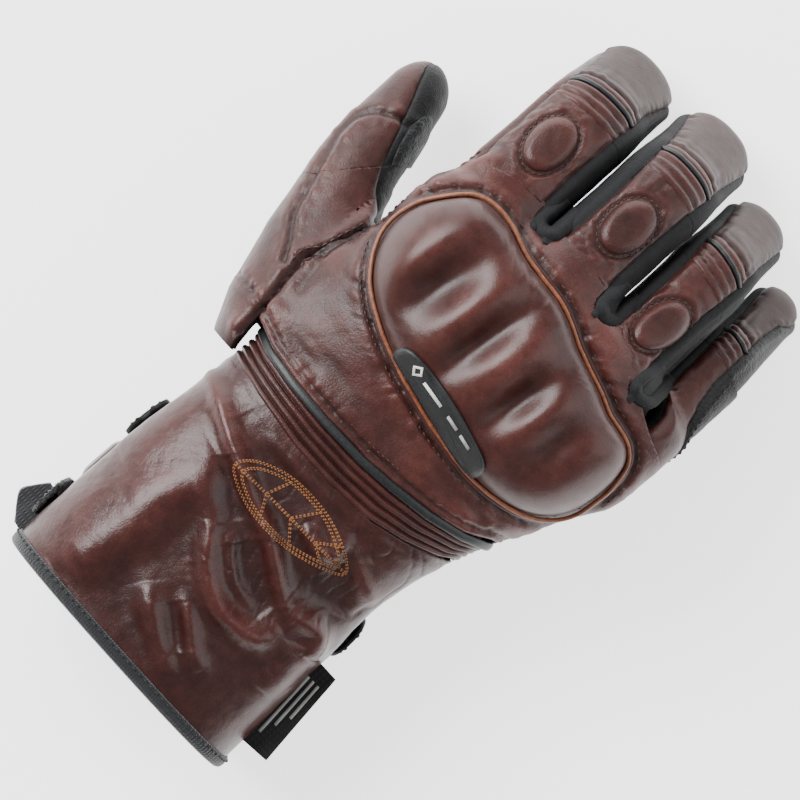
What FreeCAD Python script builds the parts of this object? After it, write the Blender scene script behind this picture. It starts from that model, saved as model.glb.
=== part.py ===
import FreeCAD, Part
import math, os

# Right-hand motorcycle gauntlet glove, palm down, resting on its hem and fingertips.
# Millimetres. +Y runs from the cuff to the fingers, +X from the thumb to the little finger, +Z is the back of the hand.
# Every limb is a tube of super-elliptic sections. Leather panels, side walls, linings and trims are sectors of that tube.

V = FreeCAD.Vector

# ---------------------------------------------------------------- driving dimensions
LEATHER = 2.0          # outer panel with its bonded backing
LINING = 1.4           # inner lining and membrane
SEAM = 0.14            # half of the gap left at every seam
LIFT = 0.1             # gap under a sewn-on overlay
POWER = 2.45           # super-ellipse power of the sections
HINGE_GAP = 0.3        # clearance around each rolling joint

WRIST_Y = -24.0        # wrist flex axis
WRIST_Z = 43.6
ACC_Y0, ACC_Y1 = -31.0, -17.0   # wrist pleat zone
HEM_Y = -114.0
SHIFT = V(5.14, -4.25, -1.52)      # moves the model so that the origin is the middle of its footprint

# axis y, axis z, centre x, half width, height above the axis, height below it, roll in degrees (little-finger side down)
MAIN = [
    (-114.0, 34.0, -1.5, 46.0, 29.5, 30.2, 0.0),
    (-90.0, 36.0, -1.5, 46.3, 29.5, 30.0, 0.0),
    (-62.0, 39.0, -1.0, 45.0, 27.5, 28.5, 0.0),
    (-34.0, 42.2, 0.5, 44.0, 25.0, 25.6, 0.5),
    (-16.0, 44.8, 2.5, 45.5, 24.0, 25.0, 1.0),
    (8.0, 49.5, 8.4, 51.2, 23.0, 24.0, 2.5),
    (30.0, 54.5, 10.8, 53.0, 20.5, 21.0, 4.0),
    (45.0, 58.0, 11.4, 53.4, 17.0, 16.5, 5.0),
    (62.0, 60.5, 11.5, 53.5, 16.0, 15.5, 5.0),
]

# finger: centre x, knuckle y and z, base slope, base length, tip slope, tip length, half widths (base, joint, tip), half heights
FINGERS = {
    "index": dict(x=-23.6, M=(54.0, 58.6), a1=-14.0, L1=45.0, a2=-68.0, L2=48.5, w=(14.1, 13.6, 12.4), h=(12.2, 12.0, 10.9)),
    "middle": dict(x=6.9, M=(57.0, 60.2), a1=-13.0, L1=45.0, a2=-69.0, L2=50.5, w=(14.4, 13.8, 12.6), h=(12.4, 12.2, 11.1)),
    "ring": dict(x=34.4, M=(52.0, 57.0), a1=-15.0, L1=44.5, a2=-66.0, L2=46.0, w=(11.7, 11.4, 10.7), h=(11.6, 11.4, 10.3)),
    "pinky": dict(x=56.3, M=(44.0, 50.0), a1=-19.0, L1=37.0, a2=-55.0, L2=41.5, w=(9.3, 9.2, 8.6), h=(10.2, 9.8, 8.8)),
}
HAND_SLOPE = 11.0
KNUCKLE_FLEX = 35.0
JOINT_FLEX = 30.0
BACK = (38.0, 142.0)   # sector of the back panel on a finger, 0 is +X and 90 is the back

THUMB = dict(B0=(-38.5, -17.0, 43.0), B=(-44.5, -6.0, 40.5), J=(-61.2, 37.0, 30.0), E=(-65.6, 76.5, 16.0), up=(-0.46, 0.0, 0.89), w=(16.4, 13.4, 12.2), h=(15.6, 12.6, 10.6))


# ---------------------------------------------------------------- sections
def unit(v):
    w = V(v)
    w.normalize()
    return w


def smooth(table, t):
    """Smooth curve through a table whose first column is the parameter."""
    n = len(table)
    i = max(j for j in range(n - 1) if table[j][0] <= t or j == 0)
    i = min(i, n - 2)
    t0, t1 = table[i][0], table[i + 1][0]
    u = (t - t0) / (t1 - t0)
    out = []
    for c in range(1, len(table[0])):
        p1, p2 = table[i][c], table[i + 1][c]
        m1 = (table[i + 1][c] - table[i - 1][c]) / (table[i + 1][0] - table[i - 1][0]) if i > 0 else (p2 - p1) / (t1 - t0)
        m2 = (table[i + 2][c] - table[i][c]) / (table[i + 2][0] - table[i][0]) if i + 2 < n else (p2 - p1) / (t1 - t0)
        d = t1 - t0
        out.append((2 * u**3 - 3 * u**2 + 1) * p1 + (u**3 - 2 * u**2 + u) * m1 * d + (-2 * u**3 + 3 * u**2) * p2 + (u**3 - u**2) * m2 * d)
    return out


def main_station(y):
    z, xc, w, hu, hd, roll = smooth(MAIN, y)
    z1 = smooth(MAIN, y + 0.5)[0]
    z0 = smooth(MAIN, y - 0.5)[0] if y > MAIN[0][0] + 0.5 else z
    slope = math.atan2(z1 - z0, 1.0 if y > MAIN[0][0] + 0.5 else 0.5)
    T = V(0, math.cos(slope), math.sin(slope))
    N = V(0, -math.sin(slope), math.cos(slope))
    r = math.radians(roll)
    X = V(1, 0, 0) * math.cos(r) - N * math.sin(r)
    return dict(C=V(xc, y, z), X=X, N=unit(X.cross(T)) if X.cross(T).dot(N) > 0 else unit(T.cross(X)), T=T, w=w, hu=hu, hd=hd)


def rounded_path(pts, radii, step=1.0):
    """Straight runs joined by arcs: a list of (arc length, point, tangent)."""
    out = []
    prev = pts[0]
    for i in range(1, len(pts) - 1):
        a, b = unit(pts[i] - pts[i - 1]), unit(pts[i + 1] - pts[i])
        ang = a.getAngle(b)
        tl = radii[i - 1] * math.tan(ang / 2)
        p, q = pts[i] - a * tl, pts[i] + b * tl
        out.append(("line", prev, p, a))
        side = unit(b - a * a.dot(b))
        out.append(("arc", p, a, side, radii[i - 1], ang))
        prev = q
    out.append(("line", prev, pts[-1], unit(pts[-1] - prev)))
    length, spans = 0.0, []
    for seg in out:
        n = (seg[2] - seg[1]).Length if seg[0] == "line" else seg[4] * seg[5]
        spans.append((length, length + n, seg))
        length += n
    return spans, length


def at(spans, s):
    for s0, s1, seg in spans:
        if s <= s1 + 1e-9:
            break
    u = s - s0
    if seg[0] == "line":
        return seg[1] + seg[3] * u, seg[3]
    _, p, a, side, r, ang = seg
    t = u / r
    return p + a * (r * math.sin(t)) + side * (r * (1 - math.cos(t))), a * math.cos(t) + side * math.sin(t)


def blend3(vals, u):
    """Value at u in 0..2 through three numbers."""
    return vals[0] + (vals[1] - vals[0]) * u if u < 1 else vals[1] + (vals[2] - vals[1]) * (u - 1)


def end_scale(d, r):
    """How much of the section is left at distance d from the very tip of a rounded end of depth r."""
    if d >= r:
        return 1.0
    return max(0.30, (1 - (1 - d / r) ** 2.3) ** 0.5)


class Limb:
    """A bent tube. s runs from its open root to its closed tip; sj is the arc length of each joint."""

    def __init__(self, pts, radii, up, w, h, back, joints):
        self.spans, self.length = rounded_path(pts, radii)
        self.up, self.w, self.h, self.back = V(*up), w, h, back
        self.sj = joints

    def station(self, s, cap=True):
        C, T = at(self.spans, s)
        X = unit(T.cross(self.up))
        N = unit(X.cross(T))
        u = s / self.sj[1] if s < self.sj[1] else 1 + (s - self.sj[1]) / (self.length - self.sj[1])
        w, h = blend3(self.w, u), blend3(self.h, u)
        k = end_scale(self.length - s, 11.0) if cap else 1.0
        return dict(C=C, X=X, N=N, T=T, w=w * k, hu=h * k, hd=h * k, k=k)


def ring(st, deg, off):
    t = math.radians(deg)
    c, s = math.cos(t), math.sin(t)
    e = 2 / POWER
    x = math.copysign(abs(c) ** e, c) * max(0.25, st["w"] + off)
    h = st["hu"] if s >= 0 else st["hd"]
    z = math.copysign(abs(s) ** e, s) * max(0.25, h + off)
    return st["C"] + st["X"] * x + st["N"] * z


def spline(pts):
    c = Part.BSplineCurve()
    c.interpolate(pts)
    return c.toShape()


def loft(wires):
    """A smooth loft, or a ruled one where the smooth one would swell past its own sections."""
    lo, hi = [1e9] * 3, [-1e9] * 3
    for w in wires:
        for p in w.discretize(40):
            for i in range(3):
                lo[i], hi[i] = min(lo[i], p[i]), max(hi[i], p[i])
    for ruled in (False, True):
        body = Part.makeLoft(wires, True, ruled)
        pts = body.tessellate(0.4)[0]
        over = max(max(lo[i] - min(p[i] for p in pts), max(p[i] for p in pts) - hi[i]) for i in range(3))
        if over < 0.9 and body.isValid():
            return body
    return body


def sector(stations, th0, th1, off0, off1, seam=SEAM, n=9):
    """The solid between two offsets and two angles along the stations."""
    wires = []
    for st in stations:
        r = (st["w"] + st["hu"]) / 2
        d = math.degrees(seam / max(2.0, r))
        a, b = th0 + d, th1 - d
        outer = [ring(st, a + (b - a) * i / (n - 1), off1) for i in range(n)]
        inner = [ring(st, b - (b - a) * i / (n - 1), off0) for i in range(n)]
        wires.append(Part.Wire([spline(outer), Part.makeLine(outer[-1], inner[0]), spline(inner), Part.makeLine(inner[-1], outer[0])]))
    return loft(wires)


def full(stations, off, n=28):
    wires = []
    for st in stations:
        c = Part.BSplineCurve()
        c.interpolate(Points=[ring(st, 360.0 * i / n + 3, off) for i in range(n)], PeriodicFlag=True)
        wires.append(Part.Wire([c.toShape()]))
    return loft(wires)


def steps(a, b, n):
    return [a + (b - a) * i / (n - 1) for i in range(n)]


def main_between(y0, y1, n):
    return [main_station(y) for y in steps(y0, y1, n)]


def top_z(x, y, off=0.0):
    """Height of the hand's back over a point, for pieces that are laid on it."""
    st = main_station(y)
    q = min(0.985, abs(x - st["C"].x) / (st["w"] + off))
    z = (st["hu"] + off) * (1 - q**POWER) ** (1 / POWER)
    return st["C"].z + z - (x - st["C"].x) * math.sin(math.radians(smooth(MAIN, y)[5]))


def plan_prism(points, z0, z1):
    """Vertical prism over a closed plan outline."""
    c = Part.BSplineCurve()
    c.interpolate(Points=[V(x, y, z0) for x, y in points], PeriodicFlag=True)
    return Part.Face(Part.Wire([c.toShape()])).extrude(V(0, 0, z1 - z0))


def offset_outline(points, d):
    """Moves a counter-clockwise or clockwise outline outwards by d."""
    n = len(points)
    area = sum(points[i][0] * points[(i + 1) % n][1] - points[(i + 1) % n][0] * points[i][1] for i in range(n))
    s = 1 if area > 0 else -1
    out = []
    for i in range(n):
        (x0, y0), (x1, y1) = points[i - 1], points[(i + 1) % n]
        tx, ty = x1 - x0, y1 - y0
        m = math.hypot(tx, ty)
        out.append((points[i][0] + s * d * ty / m, points[i][1] - s * d * tx / m))
    return out


# ---------------------------------------------------------------- limbs
def rad(a):
    return math.radians(a)


LIMBS, JOINTS, MCP_CYL, P_AT = {}, {}, {}, {}
for name, f in FINGERS.items():
    x = f["x"]
    M = V(x, *f["M"])
    P = M + V(0, math.cos(rad(f["a1"])), math.sin(rad(f["a1"]))) * f["L1"]
    E = P + V(0, math.cos(rad(f["a2"])), math.sin(rad(f["a2"]))) * f["L2"]
    R1 = f["h"][0] * 1.07
    back = math.sqrt(R1**2 - f["h"][0] ** 2) - 0.1
    A = M - V(0, math.cos(rad(HAND_SLOPE)), math.sin(rad(HAND_SLOPE))) * back
    r1, r2 = 26.0, f["h"][1] * 1.45
    b1, b2 = rad(HAND_SLOPE - f["a1"]), rad(f["a1"] - f["a2"])
    r1 = min(r1, (back - 0.2) / math.tan(b1 / 2))
    s_m = back - r1 * math.tan(b1 / 2) + r1 * b1 / 2
    s_p = back - r1 * math.tan(b1 / 2) + r1 * b1 + (f["L1"] - r1 * math.tan(b1 / 2) - r2 * math.tan(b2 / 2)) + r2 * b2 / 2
    LIMBS[name] = Limb([A, M, P, E], [r1, r2], (0, 0, 1), f["w"], f["h"], back, (s_m, s_p))
    P_AT[name] = P
    JOINTS[name] = (M, P, R1, f["h"][1] / math.cos(rad((b2 * 180 / math.pi + JOINT_FLEX) / 2 + 0.5)))
    MCP_CYL[name] = (M, R1)

t = THUMB
TB, TJ, TE = V(*t["B"]), V(*t["J"]), V(*t["E"])
T_R = 18.4
tb_dir = unit(V(*t["B0"]) - TB)
T_BACK = math.sqrt(T_R**2 - t["w"][0] ** 2) - 0.3
TA = TB + tb_dir * T_BACK
b_t = unit(TB - TA).getAngle(unit(TJ - TB))
b_j = unit(TJ - TB).getAngle(unit(TE - TJ))
rt1 = (T_BACK - 0.2) / math.tan(b_t / 2)
rt1 = min(rt1, 30.0)
s_b = T_BACK - rt1 * math.tan(b_t / 2) + rt1 * b_t / 2
s_j = T_BACK - rt1 * math.tan(b_t / 2) + rt1 * b_t + (TJ - TB).Length - rt1 * math.tan(b_t / 2) - 40 * math.tan(b_j / 2) + 40 * b_j / 2
LIMBS["thumb"] = Limb([TA, TB, TJ, TE], [rt1, 40.0], t["up"], t["w"], t["h"], T_BACK, (s_b, s_j))
TJ_ST = LIMBS["thumb"].station(s_j)
T_AXIS = TJ_ST["X"]
T_R2 = 15.3

PARTS = {}


def keep(node, *shapes):
    """Adds solids to a node."""
    solids = []
    for s in shapes:
        solids += s.Solids
    if any(not s.isValid() for s in solids):
        print("check", node)
    PARTS.setdefault(node, []).extend(s for s in solids if s.Volume > 0.5)


def knuckle_tool(name, extra=HINGE_GAP):
    """The round space each finger root turns in, over that finger's own width."""
    M, R = MCP_CYL[name]
    w = FINGERS[name]["w"][0] + 0.45
    if name == "pinky":
        return Part.makeCylinder(R + extra, w + 14, V(M.x - w, M.y, M.z), V(1, 0, 0))
    if name == "index":
        return Part.makeCylinder(R + extra, 2 * w, V(M.x - w, M.y, M.z), V(1, 0, 0))
    return Part.makeCylinder(R + extra, 2 * w, V(M.x - w, M.y, M.z), V(1, 0, 0))


KNUCKLES = [knuckle_tool(n) for n in FINGERS]
THUMB_BALL = Part.makeSphere(T_R + HINGE_GAP, TB)


def thumb_room():
    """The thumb's root swung about its base joint, a little oversize."""
    limb = LIMBS["thumb"]
    out = []
    for a in (-8.5, 0.0, 8.0, 15.5):
        tube = full([limb.station(s) for s in steps(0.0, 44.0, 6)], 0.8)
        tube.rotate(TB, V(0, 0, 1), a)
        out.append(tube)
    return out


ROOM = thumb_room()


def clear(shape, thumb=False):
    for k in KNUCKLES:
        shape = shape.cut(k)
    if thumb:
        for k in [THUMB_BALL] + ROOM:
            shape = shape.cut(k)
    return shape


# ---------------------------------------------------------------- hand
hand_st = main_between(ACC_Y1 + 0.1, 45.0, 7)
OUT = 0.0
keep("hand_back_panel", clear(sector(hand_st, -4.0, 184.0, -LEATHER, OUT, n=17), True))
keep("hand_palm_panel", clear(sector(hand_st, 184.0, 356.0, -LEATHER, OUT, n=17), True))
lin_st = main_between(ACC_Y1 + 1.0, 43.0, 7)
keep(
    "hand_lining",
    clear(sector(lin_st, 0.0, 180.0, -LEATHER - LIFT - LINING, -LEATHER - LIFT, n=15), True),
    clear(sector(lin_st, 180.0, 360.0, -LEATHER - LIFT - LINING, -LEATHER - LIFT, n=15), True),
)

# wrist: four leather pleats on the back, an elastic gusset on the palm side, a soft reflective piping along the pleats
ribs = 4
for i in range(ribs):
    y0 = ACC_Y0 + 0.15 + (ACC_Y1 - ACC_Y0 - 0.2) * i / ribs
    y1 = ACC_Y0 + 0.05 + (ACC_Y1 - ACC_Y0 - 0.2) * (i + 1) / ribs
    sts = []
    for k, b in ((0.0, -0.9), (0.25, 0.35), (0.5, 0.8), (0.75, 0.35), (1.0, -0.9)):
        st = main_station(y0 + (y1 - y0) * k)
        for key in ("w", "hu", "hd"):
            st[key] += b
        sts.append(st)
    keep("wrist_accordion", sector(sts, 12.0, 168.0, -LEATHER, 0.0, n=15))
keep("wrist_gusset", sector(main_between(ACC_Y0 + 0.15, ACC_Y1 - 0.05, 4), 168.0, 372.0, -LEATHER, -0.3, n=21))
keep("wrist_piping", sector(main_between(-16.6, -13.6, 3), 14.0, 166.0, LIFT, 1.5, n=15))

# hard knuckle guard: leather-covered shell on a foam block, with a piping ring and a rubber badge
GUARD = [
    (-32.7, 52.8), (-38.2, 44.1), (-39.6, 36.7), (-38.8, 29.5), (-35.8, 22.8), (-30.3, 16.9), (-22.8, 12.3), (-13.3, 8.4),
    (-2.9, 5.5), (10.4, 2.8), (19.7, 1.9), (28.5, 1.3), (37.2, 2.2), (44.5, 3.8), (50.2, 6.6), (54.6, 10.8),
    (57.2, 16.5), (58.2, 24.0), (58.2, 31.3), (56.4, 37.3), (53.0, 40.6), (48.8, 41.8), (44.0, 42.7), (38.4, 44.6),
    (31.5, 46.8), (24.1, 48.9), (17.0, 51.6), (10.0, 53.4), (3.3, 54.2), (-3.5, 54.8), (-9.5, 56.0), (-15.9, 57.6),
    (-22.2, 58.2), (-28.0, 56.9),
]
CROWN = [(-8.0, 0.5), (-2.0, 1.4), (4.0, 4.2), (12.0, 8.4), (24.0, 10.8), (36.0, 9.6), (46.0, 7.0), (54.0, 4.6), (61.0, 3.0)]
BADGE = [
    (-12.0, 10.2), (-8.0, 8.3), (0.0, 6.5), (10.0, 4.9), (20.0, 3.8), (28.0, 3.4), (32.6, 4.5), (31.0, 7.4),
    (24.0, 10.9), (14.0, 13.1), (4.0, 13.9), (-5.0, 13.1), (-11.0, 11.9),
]


def crown(grow):
    """The hand tube with the guard's rise added to the height of its back."""
    sts = []
    for y in steps(-8.0, 61.0, 12):
        st = main_station(y)
        st["hu"] += smooth(CROWN, y)[0] + grow
        st["w"] += 1.2
        sts.append(st)
    return full(sts, 0.0)


plan = plan_prism(GUARD, 30, 110)
pocket = plan_prism(offset_outline(GUARD, -4.6), 30, 110)
pocket_in = plan_prism(offset_outline(GUARD, -4.8), 30, 110)
hand_lift = full(main_between(-22.0, 61.0, 9), LIFT)
crown_out, crown_in, crown_foam = crown(0.0), crown(-2.2), crown(-2.35)
upper = Part.makeBox(140, 90, 70, V(-60, -20, 52))
biggest = lambda shape: max(shape.Solids, key=lambda q: q.Volume)
cap = biggest(plan.common(crown_out).cut(hand_lift)).cut(pocket.common(crown_in))
keep("knuckle_guard_cover", biggest(clear(biggest(cap)).common(upper)))
keep("knuckle_guard_foam", biggest(clear(biggest(pocket_in.common(crown_foam).cut(full(main_between(-22.0, 61.0, 9), 0.2)))).common(upper)))
ring_plan = plan_prism(offset_outline(GUARD, 2.4), 30, 110).cut(plan_prism(offset_outline(GUARD, 0.15), 30, 110))
keep("guard_piping", biggest(clear(biggest(ring_plan.common(full(main_between(-22.0, 61.0, 9), 2.3)).cut(hand_lift))).common(upper)))
keep("guard_badge", biggest(plan_prism(BADGE, 50, 110).common(crown(1.4)).cut(crown(LIFT)).common(upper)))

# palm reinforcement and the heel patch, sewn on the palm panel
PALM = [(-26, -6), (-6, -12), (20, -12), (36, -8), (42, 6), (43, 20), (40, 32), (24, 36), (4, 37), (-18, 35), (-24, 24), (-20, 8)]
under = full(main_between(-22.0, 61.0, 9), 1.4).cut(hand_lift)
keep("palm_patches", clear(biggest(plan_prism(PALM, 10, 52).common(under)), True).common(Part.makeBox(140, 90, 44, V(-60, -20, 10))))
keep("palm_patches", clear(sector(main_between(2.0, 34.0, 5), 322.0, 350.0, LIFT, 1.3)))

# ---------------------------------------------------------------- fingers
for name, limb in LIMBS.items():
    if name == "thumb":
        continue
    M, P, R1, R2 = JOINTS[name]
    L, sp = limb.length, limb.sj[1]
    b0, b1 = BACK
    cyl = Part.makeCylinder(R2, 60, V(P.x - 30, P.y, P.z), V(1, 0, 0))
    cyl_big = Part.makeCylinder(R2 + HINGE_GAP, 60, V(P.x - 30, P.y, P.z), V(1, 0, 0))
    mid = limb.station(sp)
    box = Part.makeBox(60, 80, 80, V(-30, -80, -40))
    box.Placement = FreeCAD.Placement(P, FreeCAD.Rotation(V(1, 0, 0), mid["T"], mid["N"], "XYZ"))
    behind = box.cut(cyl)
    base_s = [limb.station(s) for s in steps(0.0, sp - 2.0, 7)]
    tip_s = [limb.station(s) for s in steps(sp - R2 - 1.0, L - 11.0, 7)] + [limb.station(s) for s in (L - 8.0, L - 5.0, L - 2.6, L - 1.0, L)]

    def base(th0, th1, o0, o1, n=9):
        return sector(base_s, th0, th1, o0, o1, n=n).cut(cyl_big)

    keep(name + "_back", base(b0, b1, -LEATHER, 0))
    keep(name + "_fourchettes", base(-b0, b0, -LEATHER, 0), base(b1, 360 - b1, -LEATHER, 0))
    keep(name + "_palm", base(360 - b1, 360 - b0, -LEATHER, 0))
    # tip: the pleats over the middle joint, then the leather cap and the side walls
    s_a, s_b2 = sp - R2 * 0.62, sp + R2 * 0.34
    first = []
    edges = steps(s_a + 2.2, s_b2, 4)
    for i in range(3):
        sts = []
        for k, bulge in ((0.0, -0.8), (0.25, 0.25), (0.5, 0.6), (0.75, 0.25), (1.0, -0.8)):
            st = limb.station(edges[i] + 0.06 + (edges[i + 1] - edges[i] - 0.12) * k)
            for key in ("w", "hu", "hd"):
                st[key] += bulge
            sts.append(st)
        first.append(sector(sts, b0, b1, -LEATHER, 0))
    lead = sector([limb.station(s) for s in steps(sp - R2 - 1.0, s_a + 2.1, 4)], b0, b1, -LEATHER, -0.4).cut(behind)
    keep(name + "_accordion", lead, *[f.cut(behind) for f in first])
    cap_s = [limb.station(s) for s in steps(s_b2 + 0.1, L - 11.0, 5)] + [limb.station(s) for s in (L - 8.0, L - 5.0, L - 2.6, L - 1.0, L)]
    keep(name + "_tip_back", sector(cap_s, b0, b1, -LEATHER, 0))
    keep(name + "_tip_fourchettes", sector(tip_s, -b0, b0, -LEATHER, 0).cut(behind), sector(tip_s, b1, 360 - b1, -LEATHER, 0).cut(behind))
    keep(name + "_tip_palm", sector(tip_s, 360 - b1, 360 - b0, -LEATHER, 0).cut(behind))
    if name != "pinky":
        # oval knuckle pad sewn under the leather of the finger's back
        c = limb.station(limb.sj[0] + {"index": 27.5, "middle": 26.0, "ring": 20.0}[name])
        e = Part.makeSphere(1.0)
        m = FreeCAD.Matrix()
        m.scale(6.6 * FINGERS[name]["w"][0] / 14.0, 9.4, 5.0)
        e = e.transformGeometry(m)
        e.Placement = FreeCAD.Placement(c["C"] + c["N"] * (c["hu"] - 1.6), FreeCAD.Rotation(c["X"], c["T"], c["N"], "XYZ")).multiply(FreeCAD.Placement(V(0, 0, 0), FreeCAD.Rotation(V(0, 0, 1), 10)))
        body = full([limb.station(s) for s in steps(0.0, sp + 4, 8)], LIFT)
        pad = e.cut(body).common(Part.makeBox(80, 80, 60, V(c["C"].x - 40, c["C"].y - 40, c["C"].z)))
        # the pleats swing past the pad's end, within this radius of the middle joint
        swing = JOINTS[name][3] + 1.4
        pad = pad.cut(Part.makeCylinder(swing, 60, V(P_AT[name].x - 30, P_AT[name].y, P_AT[name].z), V(1, 0, 0)))
        keep(name + "_knuckle_pad", biggest(pad))

limb = LIMBS["pinky"]
keep("pinky_side_patch", sector([limb.station(s) for s in steps(1.5, limb.sj[1] - 17.0, 5)], -36.0, 26.0, LIFT, 1.3))

# ---------------------------------------------------------------- thumb
limb = LIMBS["thumb"]
L, sj = limb.length, limb.sj[1]
cyl = Part.makeCylinder(T_R2, 60, TJ_ST["C"] - T_AXIS * 30, T_AXIS)
cyl_big = Part.makeCylinder(T_R2 + HINGE_GAP, 60, TJ_ST["C"] - T_AXIS * 30, T_AXIS)
box = Part.makeBox(60, 80, 80, V(-30, -80, -40))
box.Placement = FreeCAD.Placement(TJ_ST["C"], FreeCAD.Rotation(TJ_ST["X"], TJ_ST["T"], TJ_ST["N"], "XYZ"))
behind = box.cut(cyl)
base_s = [limb.station(s) for s in steps(0.0, sj - 2.0, 7)]
tip_s = [limb.station(s) for s in steps(sj - T_R2 - 1.0, L - 11.0, 6)] + [limb.station(s) for s in (L - 8.0, L - 5.0, L - 2.6, L - 1.0, L)]
keep("thumb_back", sector(base_s, 28.0, 205.0, -LEATHER, 0, n=13).cut(cyl_big))
keep("thumb_inner", sector(base_s, 205.0, 388.0, -LEATHER, 0, n=13).cut(cyl_big))
keep("thumb_tip_back", sector(tip_s, 28.0, 205.0, -LEATHER, 0, n=13).cut(behind))
keep("thumb_tip_inner", sector(tip_s, 205.0, 388.0, -LEATHER, 0, n=13).cut(behind))
ball = Part.makeSphere(T_R + HINGE_GAP + LEATHER, TB).cut(THUMB_BALL)
half = Part.makeBox(80, 80, 80, V(-40, -80, -40))
half.Placement = FreeCAD.Placement(TB, FreeCAD.Rotation(V(0, 1, 0), unit(TJ - TB)))
saddle = ball.common(half).cut(full(main_between(-34.0, 40.0, 8), 0.12)).common(Part.makeBox(60, 60, 80, V(-100, -13.2, 0)))
for k in ROOM:
    saddle = saddle.cut(k)
keep("thumb_saddle", biggest(saddle))
keep("thumb_grip_pad", sector([limb.station(s) for s in steps(sj + 6.0, L - 11.5, 4)], 262.0, 372.0, LIFT, 1.2))

# ---------------------------------------------------------------- cuff
cuff_st = main_between(HEM_Y, ACC_Y0, 7)
keep("cuff_back_panel", sector(cuff_st, 0.0, 180.0, -LEATHER, 0, n=17))
keep("cuff_under_panel", sector(cuff_st, 180.0, 360.0, -LEATHER, 0, n=17))
clin = main_between(HEM_Y + 0.2, ACC_Y0 - 1.0, 7)
keep("cuff_lining", sector(clin, 0.0, 180.0, -LEATHER - LIFT - LINING, -LEATHER - LIFT, n=17), sector(clin, 180.0, 360.0, -LEATHER - LIFT - LINING, -LEATHER - LIFT, n=17))
h0 = main_station(HEM_Y)
hem_st = []
for d in (-1.3, 1.2, 3.8, 6.2):
    st = dict(h0) if d < 0 else main_station(HEM_Y + d)
    if d < 0:
        st["C"] = h0["C"] + h0["T"] * d
    hem_st.append(st)
slot_st = []
for d in (-0.1, 1.2, 3.8, 9.0):
    st = dict(h0) if d < 0 else main_station(HEM_Y + d)
    if d < 0:
        st["C"] = h0["C"] + h0["T"] * d
    slot_st.append(st)
inner = -LEATHER - LIFT - LINING
for th0, th1 in ((2.0, 178.0), (178.0, 362.0)):
    keep("hem_binding", sector(hem_st, th0, th1, inner - 1.0, 1.2, n=17).cut(sector(slot_st, th0 - 3, th1 + 3, inner - 0.1, 0.1, n=19)))

# folded woven side label in the outer seam of the cuff
lab = Part.makeBox(9.6, 33.0, 1.0, V(0, 0, -0.5))
lab.Placement = FreeCAD.Placement(V(44.9, -103.4, 37.0), FreeCAD.Rotation(V(0, 0, 1), 3.5))
keep("side_label", lab.cut(full(cuff_st, 0.15)))

# two closing straps under the cuff, each with its hook pad, over loop patches sewn on the cuff
def band(y0, y1, th0, th1, o0, o1, n=13):
    return sector(main_between(y0, y1, 4), th0, th1, o0, o1, n=n)


keep("cuff_loop_patches", band(-67.0, -53.0, 262.0, 322.0, LIFT, 0.8), band(-104.5, -91.5, 196.0, 262.0, LIFT, 0.8))
keep("strap_anchors", band(-68.0, -52.0, 184.0, 199.5, LIFT, 2.4, 7), band(-106.0, -90.0, 321.5, 337.0, LIFT, 2.4, 7))
keep("wrist_strap", band(-68.0, -52.0, 200.5, 342.0, 1.5, 2.9, 17))
keep("wrist_strap_hooks", band(-66.5, -53.5, 264.0, 320.0, 0.85, 1.45))
keep("hem_strap", band(-106.0, -90.0, 178.0, 320.5, 1.5, 2.9, 17))
keep("hem_strap_hooks", band(-104.0, -92.0, 198.0, 260.0, 0.85, 1.45))

# ---------------------------------------------------------------- write
os.makedirs("parts", exist_ok=True)
for f in os.listdir("parts"):
    if f.endswith(".step"):
        os.remove(os.path.join("parts", f))
lo, hi = [1e9] * 3, [-1e9] * 3
bad = []
for node, solids in sorted(PARTS.items()):
    c = Part.makeCompound(solids)
    c.translate(SHIFT)
    c.exportStep(os.path.join("parts", node + ".step"))
    for p in c.tessellate(0.1)[0]:
        for i in range(3):
            lo[i], hi[i] = min(lo[i], p[i]), max(hi[i], p[i])
    if not all(s.isValid() for s in solids):
        bad.append(node)
    print(f"{node:24s} solids {len(solids)} volume {sum(s.Volume for s in solids):9.1f}")
for name in FINGERS:
    M, P = JOINTS[name][0] + SHIFT, JOINTS[name][1] + SHIFT
    print("pivot", name, [round(v, 2) for v in (*M, *P)])
print("pivot thumb", [round(v, 3) for v in (*(TB + SHIFT), *(TJ_ST["C"] + SHIFT), *T_AXIS)])
print("pivot wrist", [round(v, 2) for v in (V(0, WRIST_Y, WRIST_Z) + SHIFT)])
print("pivot straps", [round(v, 2) for v in (*(ring(main_station(-60.0), 200.5, 2.9) + SHIFT), *(ring(main_station(-98.0), 320.5, 2.9) + SHIFT))])
print("nodes", len(PARTS), "invalid", bad)
print("box", [round(v, 2) for v in lo], [round(v, 2) for v in hi])
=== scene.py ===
import bpy, math
import numpy as np
from mathutils import Vector, Matrix
from mathutils.bvhtree import BVHTree


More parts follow.
